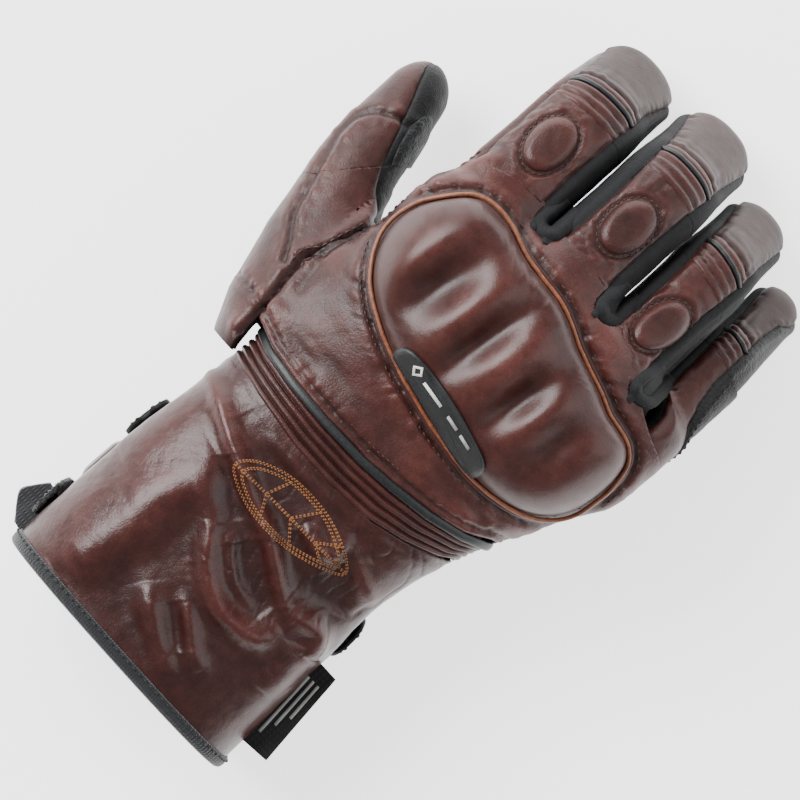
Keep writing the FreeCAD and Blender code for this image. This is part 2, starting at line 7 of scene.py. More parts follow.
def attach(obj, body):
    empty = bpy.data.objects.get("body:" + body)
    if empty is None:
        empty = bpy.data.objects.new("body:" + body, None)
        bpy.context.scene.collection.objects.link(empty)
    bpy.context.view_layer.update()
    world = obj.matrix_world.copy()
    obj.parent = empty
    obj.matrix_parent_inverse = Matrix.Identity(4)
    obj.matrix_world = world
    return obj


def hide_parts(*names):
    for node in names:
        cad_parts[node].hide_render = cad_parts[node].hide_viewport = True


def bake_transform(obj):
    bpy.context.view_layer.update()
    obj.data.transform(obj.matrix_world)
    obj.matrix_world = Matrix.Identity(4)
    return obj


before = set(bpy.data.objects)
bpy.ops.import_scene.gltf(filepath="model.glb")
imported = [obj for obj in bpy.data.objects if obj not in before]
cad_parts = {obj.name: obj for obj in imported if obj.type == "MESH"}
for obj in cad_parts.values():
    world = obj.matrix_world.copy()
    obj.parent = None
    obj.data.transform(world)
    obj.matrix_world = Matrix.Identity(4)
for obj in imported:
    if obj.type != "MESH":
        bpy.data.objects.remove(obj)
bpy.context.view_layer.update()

# All modelling is in millimetres in the glove's own plan frame; MOVE takes it to the row frame, then everything is metres.
MOVE = np.array([5.14, -4.25, -1.52])
rng = np.random.default_rng(7)


def A(*v):
    return np.array(v, float)


def W(p):
    return (np.asarray(p, float) + MOVE) / 1000.0


def unit(v):
    return v / np.maximum(np.linalg.norm(v, axis=-1, keepdims=True), 1e-9)


def smoothstep(a, b, x):
    t = np.clip((x - a) / (b - a), 0, 1)
    return t * t * (3 - 2 * t)


def gauss(d, w):
    return np.exp(-((d / w) ** 2))


# ------------------------------------------------------------------ noise
def _hash(ix, iy, iz, seed):
    n = (ix * 374761393 + iy * 668265263 + iz * 1440662683 + seed * 1274126177) & 0xFFFFFFFF
    n = ((n ^ (n >> 13)) * 1274126177) & 0xFFFFFFFF
    return ((n ^ (n >> 16)) & 0xFFFF) / 32767.5 - 1.0


def noise(P, scale, seed=0):
    """Smooth value noise in -1..1; scale is the cell size in mm."""
    q = np.asarray(P, float) / scale
    i = np.floor(q).astype(np.int64)
    f = q - i
    f = f * f * f * (f * (f * 6 - 15) + 10)
    out = 0
    for dx in (0, 1):
        for dy in (0, 1):
            for dz in (0, 1):
                w = (f[..., 0] if dx else 1 - f[..., 0]) * (f[..., 1] if dy else 1 - f[..., 1]) * (f[..., 2] if dz else 1 - f[..., 2])
                out = out + w * _hash(i[..., 0] + dx, i[..., 1] + dy, i[..., 2] + dz, seed)
    return out


def fbm(P, scale, seed=0, octaves=3):
    out, a = 0, 1.0
    for o in range(octaves):
        out = out + a * noise(P, scale / 2**o, seed + 17 * o)
        a *= 0.5
    return out / 1.75


# ------------------------------------------------------------------ plan-curve tools
def catmull(pts, closed=False, step=1.0):
    """Evenly spaced points on a smooth curve through the given ones."""
    p = np.asarray(pts, float)
    n = len(p)
    out = []
    for i in range(n if closed else n - 1):
        p1, p2 = p[i], p[(i + 1) % n]
        p0 = p[i - 1] if (closed or i > 0) else 2 * p1 - p2
        p3 = p[(i + 2) % n] if (closed or i + 2 < n) else 2 * p2 - p1
        t = np.linspace(0, 1, 13)[:-1, None]
        out.append(0.5 * ((2 * p1) + (-p0 + p2) * t + (2 * p0 - 5 * p1 + 4 * p2 - p3) * t**2 + (-p0 + 3 * p1 - 3 * p2 + p3) * t**3))
    q = np.vstack(out + ([] if closed else [p[-1:]]))
    if closed:
        q = np.vstack([q, q[:1]])
    return resample(q, step, closed)


def resample(q, step, closed=False):
    d = np.r_[0, np.cumsum(np.linalg.norm(np.diff(q, axis=0), axis=1))]
    m = max(2, int(round(d[-1] / step)) + 1)
    t = np.linspace(0, d[-1], m)
    r = np.stack([np.interp(t, d, q[:, k]) for k in range(q.shape[1])], 1)
    return r[:-1] if closed else r


def dist_line(xy, line):
    """Distance to a polyline, and the arc length of the nearest point. xy (n,k), line (m,k)."""
    xy, line = np.asarray(xy, float), np.asarray(line, float)
    best = np.full(len(xy), 1e9)
    arc = np.zeros(len(xy))
    side = np.zeros(len(xy))
    L = 0.0
    for a, b in zip(line[:-1], line[1:]):
        ab = b - a
        l2 = max(ab @ ab, 1e-12)
        t = np.clip(((xy - a) @ ab) / l2, 0, 1)
        d = np.linalg.norm(xy - a - t[:, None] * ab, axis=1)
        m = d < best
        best[m] = d[m]
        arc[m] = L + t[m] * math.sqrt(l2)
        if xy.shape[1] == 2:
            cr = ab[0] * (xy[:, 1] - a[1]) - ab[1] * (xy[:, 0] - a[0])
            side[m] = np.sign(cr[m])
        L += math.sqrt(l2)
    return best, arc, side


def inside(xy, poly):
    x, y = xy[:, 0], xy[:, 1]
    c = np.zeros(len(xy), bool)
    q = np.vstack([poly, poly[:1]])
    for (x0, y0), (x1, y1) in zip(q[:-1], q[1:]):
        m = ((y0 > y) != (y1 > y)) & (x < (x1 - x0) * (y - y0) / (y1 - y0 + 1e-12) + x0)
        c ^= m
    return c


def signed(xy, poly):
    """Positive inside the polygon, in mm."""
    d = dist_line(xy, np.vstack([poly, poly[:1]]))[0]
    return np.where(inside(xy, poly), d, -d)


def px(*pts):
    """Plan points from the layout grid (x right, y down, 0.3 mm each)."""
    out = []
    for X, Y in pts:
        u, v = X - 400.0, 400.0 - Y
        out.append((0.2007 * u - 0.2229 * v, 0.2229 * u + 0.2007 * v))
    return np.array(out)


# ------------------------------------------------------------------ section tables
POWER = 2.35
# y, axis z, left edge x, right edge x, height above, below, roll in degrees
MAIN = np.array([
    (-118.0, 33.6, -47.0, 45.2, 29.6, 30.2, 0.0),
    (-114.0, 34.0, -47.0, 45.0, 29.6, 30.2, 0.0),
    (-96.0, 35.6, -47.4, 44.3, 29.6, 30.0, 0.0),
    (-66.0, 38.6, -46.8, 42.8, 28.0, 29.0, 0.0),
    (-47.0, 40.8, -45.2, 42.0, 26.2, 27.0, 0.0),
    (-34.0, 42.2, -44.0, 43.6, 25.0, 25.6, 0.5),
    (-20.0, 44.2, -43.2, 47.0, 24.2, 25.0, 1.0),
    (-9.0, 45.8, -43.0, 50.6, 23.8, 24.6, 1.5),
    (0.0, 47.6, -43.2, 54.6, 23.4, 24.2, 2.0),
    (12.0, 50.3, -43.2, 59.6, 22.6, 23.2, 2.8),
    (31.0, 54.8, -42.6, 63.6, 20.4, 20.8, 4.0),
    (45.0, 58.0, -42.2, 64.8, 17.2, 16.6, 5.0),
    (62.0, 60.0, -41.6, 64.4, 15.0, 13.6, 5.0),
])


def table(tab, y):
    """Smooth monotone-ish interpolation of every column at y."""
    x = tab[:, 0]
    y = np.clip(np.asarray(y, float), x[0], x[-1])
    i = np.clip(np.searchsorted(x, y, side="right") - 1, 0, len(x) - 2)
    m = np.gradient(tab[:, 1:], x, axis=0)
    h = (x[i + 1] - x[i])[..., None]
    t = ((y - x[i])[..., None]) / h
    p1, p2, m1, m2 = tab[i, 1:], tab[i + 1, 1:], m[i] * h, m[i + 1] * h
    return (2 * t**3 - 3 * t**2 + 1) * p1 + (t**3 - 2 * t**2 + t) * m1 + (-2 * t**3 + 3 * t**2) * p2 + (t**3 - t**2) * m2


def main_frames(y):
    """Arrays of section frames of the cuff and hand tube."""
    q = table(MAIN, y)
    q2 = table(MAIN, np.asarray(y) + 0.5)
    q1 = table(MAIN, np.asarray(y) - 0.5)
    sl = (q2[:, 0] - q1[:, 0]) / 1.0
    T = np.stack([0 * sl, 1 + 0 * sl, 0 * sl], 1)
    N = np.stack([0 * sl, -T[:, 2], T[:, 1]], 1)
    r = np.radians(q[:, 5])[:, None]
    X = A(1, 0, 0) * np.cos(r) - N * np.sin(r)
    N = unit(np.cross(X, T))
    C = np.stack([(q[:, 1] + q[:, 2]) / 2, y, q[:, 0]], 1)
    return dict(C=C, X=X, N=N, T=T, w=(q[:, 2] - q[:, 1]) / 2, hu=q[:, 3], hd=q[:, 4])


def f_main(P, grow=0.0):
    """Implicit hand and cuff tube: about the distance in mm, negative inside."""
    q = table(MAIN, P[:, 1])
    xc, w = (q[:, 1] + q[:, 2]) / 2, (q[:, 2] - q[:, 1]) / 2 + grow
    r = np.radians(q[:, 5])
    dx, dz = P[:, 0] - xc, P[:, 2] - q[:, 0]
    u = dx * np.cos(r) - dz * np.sin(r)
    v = dx * np.sin(r) + dz * np.cos(r)
    h = np.where(v > 0, q[:, 3], q[:, 4]) + grow
    end = np.maximum(0, (P[:, 1] - 50.0) / 13.0)
    rho = ((np.abs(u / w) ** POWER + np.abs(v / h) ** POWER) + end**2.4) ** (1 / POWER)
    r = np.sqrt(u * u + v * v)
    f = r - r / np.maximum(rho, 1e-4)
    return np.where(end > 0.97, np.maximum(f, (end - 1) * 13.0), f)


def main_angle(P):
    """Angle round the hand tube in degrees: 0 little-finger side, 90 back, 180 thumb side."""
    q = table(MAIN, P[:, 1])
    xc, w = (q[:, 1] + q[:, 2]) / 2, (q[:, 2] - q[:, 1]) / 2
    r = np.radians(q[:, 5])
    dx, dz = P[:, 0] - xc, P[:, 2] - q[:, 0]
    u, v = dx * np.cos(r) - dz * np.sin(r), dx * np.sin(r) + dz * np.cos(r)
    return np.degrees(np.arctan2(v / np.where(v > 0, q[:, 3], q[:, 4]), u / w))


def smin(a, b, k):
    h = np.maximum(k - np.abs(a - b), 0) / k
    return np.minimum(a, b) - h * h * k / 4


class Tube:
    """A bent limb: straight runs joined by arcs, with its own sections and a rounded tip."""

    def __init__(self, pts, radii, up, w, hu, hd, joints, tip, power=2.3):
        pts = [np.asarray(p, float) for p in pts]
        segs, prev = [], pts[0]
        for i in range(1, len(pts) - 1):
            a, b = unit(pts[i] - pts[i - 1]), unit(pts[i + 1] - pts[i])
            ang = math.acos(max(-1, min(1, a @ b)))
            tl = radii[i - 1] * math.tan(ang / 2)
            p = pts[i] - a * tl
            segs += [("l", prev, p, a), ("a", p, a, unit(b - a * (a @ b)), radii[i - 1], ang)]
            prev = pts[i] + b * tl
        segs.append(("l", prev, pts[-1], unit(pts[-1] - prev)))
        S, C, T, s = [], [], [], 0.0
        self.knots = []
        for g in segs:
            n = np.linalg.norm(g[2] - g[1]) if g[0] == "l" else g[4] * g[5]
            k = max(2, int(n / 0.5) + 1)
            for u in np.linspace(0, n, k):
                if g[0] == "l":
                    c, t = g[1] + g[3] * u, g[3]
                else:
                    a = u / g[4]
                    c, t = g[1] + g[2] * (g[4] * math.sin(a)) + g[3] * (g[4] * (1 - math.cos(a))), g[2] * math.cos(a) + g[3] * math.sin(a)
                if not S or s + u > S[-1] + 1e-6:
                    S.append(s + u), C.append(c), T.append(t)
            if g[0] == "a":
                self.knots.append(s + n / 2)
            s += n
        self.S, self.C, self.T = np.array(S), np.array(C), unit(np.array(T))
        self.X = unit(np.cross(self.T, np.asarray(up, float)))
        self.N = unit(np.cross(self.X, self.T))
        self.L, self.tip, self.power = s, tip, power
        self.tab = {k: np.array(v, float) for k, v in (("w", w), ("hu", hu), ("hd", hd))}

    def dims(self, s):
        s = np.asarray(s, float)
        a = np.clip((s - (self.L - self.tip)) / self.tip, 0, 1)
        k = np.maximum(1 - a**2.3, 0) ** (1 / 2.3)
        return [np.interp(s, t[:, 0], t[:, 1]) for t in (self.tab["w"], self.tab["hu"], self.tab["hd"])] + [k]

    def frames(self, s):
        s = np.asarray(s, float)
        g = lambda V: np.stack([np.interp(s, self.S, V[:, k]) for k in range(3)], -1)
        w, hu, hd, k = self.dims(s)
        return dict(C=g(self.C), X=unit(g(self.X)), N=unit(g(self.N)), T=unit(g(self.T)), w=w * k, hu=hu * k, hd=hd * k)

    def local(self, Q):
        best, idx = np.full(len(Q), 1e9), np.zeros(len(Q), int)
        for i in range(0, len(self.S), 2):
            d = ((Q - self.C[i]) ** 2).sum(1)
            b = d < best
            best[b], idx[b] = d[b], i
        rel = Q - self.C[idx]
        return self.S[idx] + (rel * self.T[idx]).sum(1), (rel * self.X[idx]).sum(1), (rel * self.N[idx]).sum(1)

    def implicit(self, P, grow=0.0):
        out = np.full(len(P), 60.0)
        lo, hi = self.C.min(0) - 26, self.C.max(0) + 26
        m = np.all((P > lo) & (P < hi), axis=1)
        Q = P[m]
        s, u, v = self.local(Q)
        w, hu, hd, _ = self.dims(s)
        h = np.where(v > 0, hu, hd) + grow
        w = w + grow
        a = np.clip((s - (self.L - self.tip)) / (self.tip + grow), 0, None) + np.clip(-s / (1.25 * w), 0, None)
        rho = ((np.abs(u / w) ** self.power + np.abs(v / h) ** self.power) + a**2.3) ** (1 / self.power)
        out[m] = (rho - 1) * np.minimum(w, h)
        return out


def section(fr, th, power, grow=0.0):
    """Points on a section. th in degrees, arrays (n, m); frames (n)."""
    t = np.radians(th)
    c, s = np.cos(t), np.sin(t)
    e = 2 / power
    w = fr["w"][:, None] + grow
    h = np.where(s >= 0, fr["hu"][:, None], fr["hd"][:, None]) + grow
    x, z = np.sign(c) * np.abs(c) ** e * w, np.sign(s) * np.abs(s) ** e * h
    return fr["C"][:, None, :] + fr["X"][:, None, :] * x[..., None] + fr["N"][:, None, :] * z[..., None]


def grid_normals(P, flip=False):
    du = np.gradient(P, axis=0)
    dv = np.gradient(P, axis=1)
    n = np.cross(dv, du)
    l = np.linalg.norm(n, axis=-1, keepdims=True)
    n = n / np.maximum(l, 1e-9)
    return -n if flip else n


# ------------------------------------------------------------------ mesh tools
MATS = {}


def make(name, V, F, mats, idx=None, attrs=None, smooth=True):
    """A mesh object from millimetre vertices. F is a list of faces or an int array; idx is the material of each face."""
    me = bpy.data.meshes.new(name)
    F = [list(map(int, f)) for f in F]
    me.from_pydata([tuple(v) for v in W(V)], [], F)
    me.update()
    ob = bpy.data.objects.new(name, me)
    bpy.context.scene.collection.objects.link(ob)
    for m in mats:
        me.materials.append(MATS[m])
    if idx is not None:
        me.polygons.foreach_set("material_index", np.asarray(idx, np.int32))
    me.polygons.foreach_set("use_smooth", np.full(len(F), smooth))
    for k, a in (attrs or {}).items():
        at = me.attributes.new(k, "FLOAT", "POINT")
        at.data.foreach_set("value", np.asarray(a, np.float32))
    me.validate()
    return ob


class Part:
    """Collects vertices, faces and materials of one piece."""

    def __init__(self):
        self.V, self.F, self.I, self.fold, self.mats = [], [], [], [], []
        self.n = 0

    def add(self, V, F, mat, fold=None):
        V = np.asarray(V, float).reshape(-1, 3)
        if mat not in self.mats:
            self.mats.append(mat)
        k = self.mats.index(mat)
        self.V.append(V)
        self.fold.append(np.zeros(len(V)) if fold is None else np.asarray(fold, float).ravel())
        F = [tuple(int(i) + self.n for i in f) for f in F]
        self.F += F
        self.I += [k] * len(F)
        self.n += len(V)
        return self

    def build(self, name):
        return make(name, np.vstack(self.V), self.F, self.mats, self.I, {"fold": np.concatenate(self.fold)})


def grid_faces(n, m, base=0, wrap=False, flip=False):
    i, j = np.meshgrid(np.arange(n - 1), np.arange(m if wrap else m - 1), indexing="ij")
    a = i * m + j
    b = i * m + (j + 1) % m
    q = np.stack([a, b, b + m, a + m], -1).reshape(-1, 4) + base
    return q[:, ::-1] if flip else q


def slab(P, N, thick, part, mat, fold=None, inner_mat=None):
    """A closed sheet of even thickness whose outer face is the grid P with outward normals N."""
    loop_ = P.shape[1] > 6 and np.abs(P[:, 0] - P[:, -1]).max() < 1e-6
    if loop_:
        N = N.copy()
        N[:, 0] = unit(N[:, 0] + N[:, -1])
        P, N = P[:, :-1], N[:, :-1]
        thick = thick if np.isscalar(thick) else np.asarray(thick)[:, :-1]
        fold = None if fold is None else np.asarray(fold)[:, :-1]
        if np.abs(P[0] - P[0, :1]).max() < 1e-3:
            N[0] = unit(N[1].mean(0)[None])
    n, m = P.shape[:2]
    Q = P - N * (thick if np.isscalar(thick) else np.asarray(thick)[..., None])
    V = np.concatenate([P.reshape(-1, 3), Q.reshape(-1, 3)])
    k = n * m
    o = grid_faces(n, m, wrap=loop_)
    # orient outwards
    a, b, c = P[n // 2, m // 2], P[min(n // 2 + 1, n - 1), m // 2], P[n // 2, min(m // 2 + 1, m - 1)]
    good = np.dot(np.cross(c - a, b - a), N[n // 2, m // 2]) > 0
    top = o if good else o[:, ::-1]
    bot = (o[:, ::-1] if good else o) + k
    ring = [i * m for i in range(n)] + [(n - 1) * m + j for j in range(1, m)] + [i * m + m - 1 for i in range(n - 2, -1, -1)] + [j for j in range(m - 2, 0, -1)]
    rim = []
    pairs = list(zip(ring, ring[1:] + ring[:1]))
    if loop_:
        pairs = [((n - 1) * m + j, (n - 1) * m + (j + 1) % m) for j in range(m)]
        if np.abs(P[0] - P[0, :1]).max() >= 1e-3:
            pairs += [((j + 1) % m, j) for j in range(m)]
    for x, y in pairs:
        f = (x, y, y + k, x + k)
        rim.append(f if good else f[::-1])
    if loop_ and np.abs(P[0] - P[0, :1]).max() < 1e-3:
        def one(fs):
            out = []
            for f in fs:
                g = []
                for v_ in f:
                    v_ = int(v_)
                    v_ = 0 if v_ < m else (k if k <= v_ < k + m else v_)
                    if v_ not in g:
                        g.append(v_)
                if len(g) > 2:
                    out.append(tuple(g))
            return out
        top, bot, rim = one(top), one(bot), one(rim)
    f2 = None if fold is None else np.concatenate([np.ravel(fold), np.ravel(fold)])
    part.add(V, list(map(tuple, top)) + list(map(tuple, bot)) + rim, mat, f2)
    return part


def sweep(points, normals, prof, part, mat, closed=False, caps=True, scale=None, fold=None):
    """Sweeps a closed profile (list of (side, up)) along points; normals give the up direction."""
    P = np.asarray(points, float)
    n = len(P)
    T = unit(np.roll(P, -1, 0) - np.roll(P, 1, 0)) if closed else unit(np.gradient(P, axis=0))
    U = np.asarray(normals, float)
    U = unit(U - (U * T).sum(1, keepdims=True) * T)
    S = unit(np.cross(T, U))
    pr = np.asarray(prof, float)
    sc = np.ones(n) if scale is None else np.asarray(scale)
    V = P[:, None, :] + S[:, None, :] * (pr[None, :, 0, None] * sc[:, None, None]) + U[:, None, :] * (pr[None, :, 1, None] * sc[:, None, None])
    m = len(pr)
    Vf = V.reshape(-1, 3)
    F = [tuple(f) for f in grid_faces(n, m, wrap=True, flip=True)]
    if closed:
        base = (n - 1) * m
        F += [(base + (j + 1) % m, base + j, j, (j + 1) % m)[::1] for j in range(m)]
    elif caps:
        F += [tuple(range(m)), tuple((n - 1) * m + j for j in range(m - 1, -1, -1))]
    part.add(Vf, F, mat, fold)
    return part


def circle(r, n=8, squash=1.0):
    return [(r * math.cos(2 * math.pi * k / n), r * squash * math.sin(2 * math.pi * k / n)) for k in range(n)]


_cap = None


def stitches(points, normals, part, mat, pitch=3.0, gap=0.8, r=0.3, lift=0.05, jitter=0.12, steepest=2.0):
    """Real threads: one small bent capsule for each stitch along the line."""
    P = resample(np.asarray(points, float), 0.4)
    Nn = np.asarray(normals, float)
    if len(Nn) != len(P):
        d0 = np.linspace(0, 1, len(Nn))
        Nn = np.stack([np.interp(np.linspace(0, 1, len(P)), d0, Nn[:, k]) for k in range(3)], 1)
    d = np.r_[0, np.cumsum(np.linalg.norm(np.diff(P, axis=0), axis=1))]
    count = int(d[-1] / pitch)
    if count < 1:
        return part
    prof = np.array(circle(1.0, 6))
    at = lambda A_, s: np.stack([np.interp(s, d, A_[:, k]) for k in range(3)], -1)
    V, F, n = [], [], 0
    for i in range(count):
        s0 = (i + 0.5) * (d[-1] / count)
        half = (pitch - gap) / 2 * (1 + jitter * math.sin(i * 12.9898))
        s = s0 + np.linspace(-half, half, 5)
        c, u = at(P, s), unit(at(Nn, s))
        arch = np.array([-0.55, 0.25, 0.5, 0.25, -0.55]) * r + lift
        c = c + u * arch[:, None]
        t = unit(c[-1] - c[0])
        if abs(t[2]) > steepest:
            continue
        side = unit(np.cross(np.broadcast_to(t, u.shape), u))
        up = unit(np.cross(side, np.broadcast_to(t, u.shape)))
        rad = np.array([0.45, 0.92, 1.0, 0.92, 0.45]) * r
        ring_ = c[:, None] + side[:, None] * (prof[None, :, 0, None] * rad[:, None, None]) + up[:, None] * (prof[None, :, 1, None] * rad[:, None, None] * 0.8)
        V.append(ring_.reshape(-1, 3))
        F += [tuple(f + n) for f in grid_faces(5, 6, wrap=True, flip=True)]
        F += [tuple(n + k for k in range(6)), tuple(n + 24 + k for k in range(5, -1, -1))]
        n += 30
    part.add(np.vstack(V), F, mat)
    return part


# ------------------------------------------------------------------ implicit surface to mesh
def surface_nets(fun, lo, hi, h):
    ax = [np.arange(lo[k], hi[k] + h, h) for k in range(3)]
    G = np.stack(np.meshgrid(*ax, indexing="ij"), -1)
    Fv = fun(G.reshape(-1, 3)).reshape(G.shape[:3])
    S = Fv < 0
    c = [S[i : S.shape[0] - 1 + i, j : S.shape[1] - 1 + j, k : S.shape[2] - 1 + k] for i in (0, 1) for j in (0, 1) for k in (0, 1)]
    cnt = sum(x.astype(np.int8) for x in c)
    act = (cnt > 0) & (cnt < 8)
    idx = -np.ones(act.shape, int)
    idx[act] = np.arange(act.sum())
    cells = np.argwhere(act)
    V = np.asarray(lo, float) + (cells + 0.5) * h
    F = []
    for a in range(3):
        b, d = (a + 1) % 3, (a + 2) % 3
        s0 = [slice(None)] * 3
        s1 = [slice(None)] * 3
        s0[a], s1[a] = slice(0, -1), slice(1, None)
        ch = S[tuple(s0)] != S[tuple(s1)]
        e = np.argwhere(ch)
        ok = (e[:, b] > 0) & (e[:, d] > 0) & (e[:, b] < S.shape[b] - 1) & (e[:, d] < S.shape[d] - 1)
        e = e[ok]
        q = []
        for ob_, od in ((0, 0), (-1, 0), (-1, -1), (0, -1)):
            k = e.copy()
            k[:, b] += ob_
            k[:, d] += od
            q.append(idx[k[:, 0], k[:, 1], k[:, 2]])
        q = np.stack(q, 1)
        inside_first = S[e[:, 0], e[:, 1], e[:, 2]]
        q[~inside_first] = q[~inside_first][:, ::-1]
        F.append(q)
    return V, np.vstack(F)


def gradient(fun, V, e=0.25):
    g = np.empty_like(V)
    for k in range(3):
        d = np.zeros(3)
        d[k] = e
        g[:, k] = (fun(V + d) - fun(V - d)) / (2 * e)
    return g


def project(fun, V, n=3, cap=2.0):
    for _ in range(n):
        g = gradient(fun, V)
        f = fun(V)
        st = -f[:, None] * g / np.maximum((g**2).sum(1), 0.05)[:, None]
        l = np.linalg.norm(st, axis=1, keepdims=True)
        V = V + st * np.minimum(1, cap / np.maximum(l, 1e-9))
    return V


def subdivide(V, F):
    """Splits every quad in four."""
    F = np.asarray(F)
    E = np.sort(np.concatenate([F[:, [0, 1]], F[:, [1, 2]], F[:, [2, 3]], F[:, [3, 0]]]), axis=1)
    key = E[:, 0].astype(np.int64) * (len(V) + 1) + E[:, 1]
    u, inv = np.unique(key, return_inverse=True)
    a, b = u // (len(V) + 1), u % (len(V) + 1)
    mid = (V[a] + V[b]) / 2
    n = len(F)
    e = [inv[k * n : (k + 1) * n] + len(V) for k in range(4)]
    cen = V[F].mean(1)
    c = np.arange(n) + len(V) + len(u)
    V2 = np.vstack([V, mid, cen])
    F2 = np.vstack([np.stack([F[:, 0], e[0], c, e[3]], 1), np.stack([e[0], F[:, 1], e[1], c], 1), np.stack([c, e[1], F[:, 2], e[2]], 1), np.stack([e[3], c, e[2], F[:, 3]], 1)])
    return V2, F2


def clip(V, F, val, extra=None):
    """Keeps the part of a triangle mesh where val is positive, cutting triangles along the zero line."""
    F = np.asarray(F)
    if F.shape[1] == 4:
        F = np.vstack([F[:, [0, 1, 2]], F[:, [0, 2, 3]]])
    extra = {} if extra is None else extra
    pos = val > 0
    k = pos[F].sum(1)
    keep = F[k == 3]
    V_new, ex_new, cache = [], {q: [] for q in extra}, {}
    out = []
    nV = len(V)

    def cross(a, b):
        key = (a, b) if a < b else (b, a)
        if key not in cache:
            t = val[a] / (val[a] - val[b])
            cache[key] = nV + len(V_new)
            V_new.append(V[a] + t * (V[b] - V[a]))
            for q in extra:
                ex_new[q].append(extra[q][a] + t * (extra[q][b] - extra[q][a]))
        return cache[key]

    for f in F[(k == 1) | (k == 2)]:
        p = [bool(pos[i]) for i in f]
        if sum(p) == 1:
            i = p.index(True)
            a, b, c = f[i], f[(i + 1) % 3], f[(i + 2) % 3]
            out.append((a, cross(a, b), cross(a, c)))
        else:
            i = p.index(False)
            a, b, c = f[i], f[(i + 1) % 3], f[(i + 2) % 3]
            x, y = cross(a, b), cross(a, c)
            out.append((x, b, c))
            out.append((x, c, y))
    if V_new:
        V = np.vstack([V, np.array(V_new)])
        extra = {q: np.concatenate([extra[q], np.array(ex_new[q])]) for q in extra}
    F = np.vstack([keep] + ([np.array(out)] if out else []))
    used = np.unique(F)
    re = -np.ones(len(V), int)
    re[used] = np.arange(len(used))
    return V[used], re[F], {q: extra[q][used] for q in extra}


def boundary(F):
    E = np.concatenate([F[:, [0, 1]], F[:, [1, 2]], F[:, [2, 0]]])
    key = set(map(tuple, E))
    return [(a, b) for a, b in key if (b, a) not in key]


def shell(V, F, N, thick, part, mat, fold=None):
    """Closed shell from an open triangle mesh with outward normals."""
    k = len(V)
    Q = V - N * thick
    rim = [(b, a, a + k, b + k) for a, b in boundary(F)]
    fo = None if fold is None else np.concatenate([fold, fold])
    part.add(np.vstack([V, Q]), [tuple(f) for f in F] + [tuple(f[::-1] + k) for f in F] + rim, mat, fo)
    return part


# ------------------------------------------------------------------ materials
def nodes_of(name):
    m = bpy.data.materials.new(name)
    m.use_nodes = True
    nt = m.node_tree
    b = nt.nodes["Principled BSDF"]
    MATS[name] = m
    return m, nt, b


def n_(nt, kind, **kw):
    x = nt.nodes.new(kind)
    for k, v in kw.items():
        if k in x.inputs:
            x.inputs[k].default_value = v
        else:
            setattr(x, k, v)
    return x


def ramp(nt, fac, stops):
    r = nt.nodes.new("ShaderNodeValToRGB")
    el = r.color_ramp.elements
    while len(el) < len(stops):
        el.new(0.5)
    for e, (p, c) in zip(el, stops):
        e.position = p
        e.color = (*c, 1) if len(c) == 3 else c
    nt.links.new(fac, r.inputs["Fac"])
    return r.outputs["Color"]


def mixc(nt, fac, a, b, mode="MIX"):
    m = nt.nodes.new("ShaderNodeMix")
    m.data_type = "RGBA"
    m.blend_type = mode
    for sock, v in ((m.inputs[0], fac), (m.inputs[6], a), (m.inputs[7], b)):
        if hasattr(v, "is_linked") or hasattr(v, "node"):
            nt.links.new(v, sock)
        else:
            sock.default_value = v if np.isscalar(v) else (*v, 1)
    return m.outputs[2]


def math_(nt, op, a, b=0.0, clampit=False):
    m = nt.nodes.new("ShaderNodeMath")
    m.operation = op
    m.use_clamp = clampit
    for sock, v in ((m.inputs[0], a), (m.inputs[1], b)):
        if hasattr(v, "node"):
            nt.links.new(v, sock)
        else:
            sock.default_value = v
    return m.outputs[0]


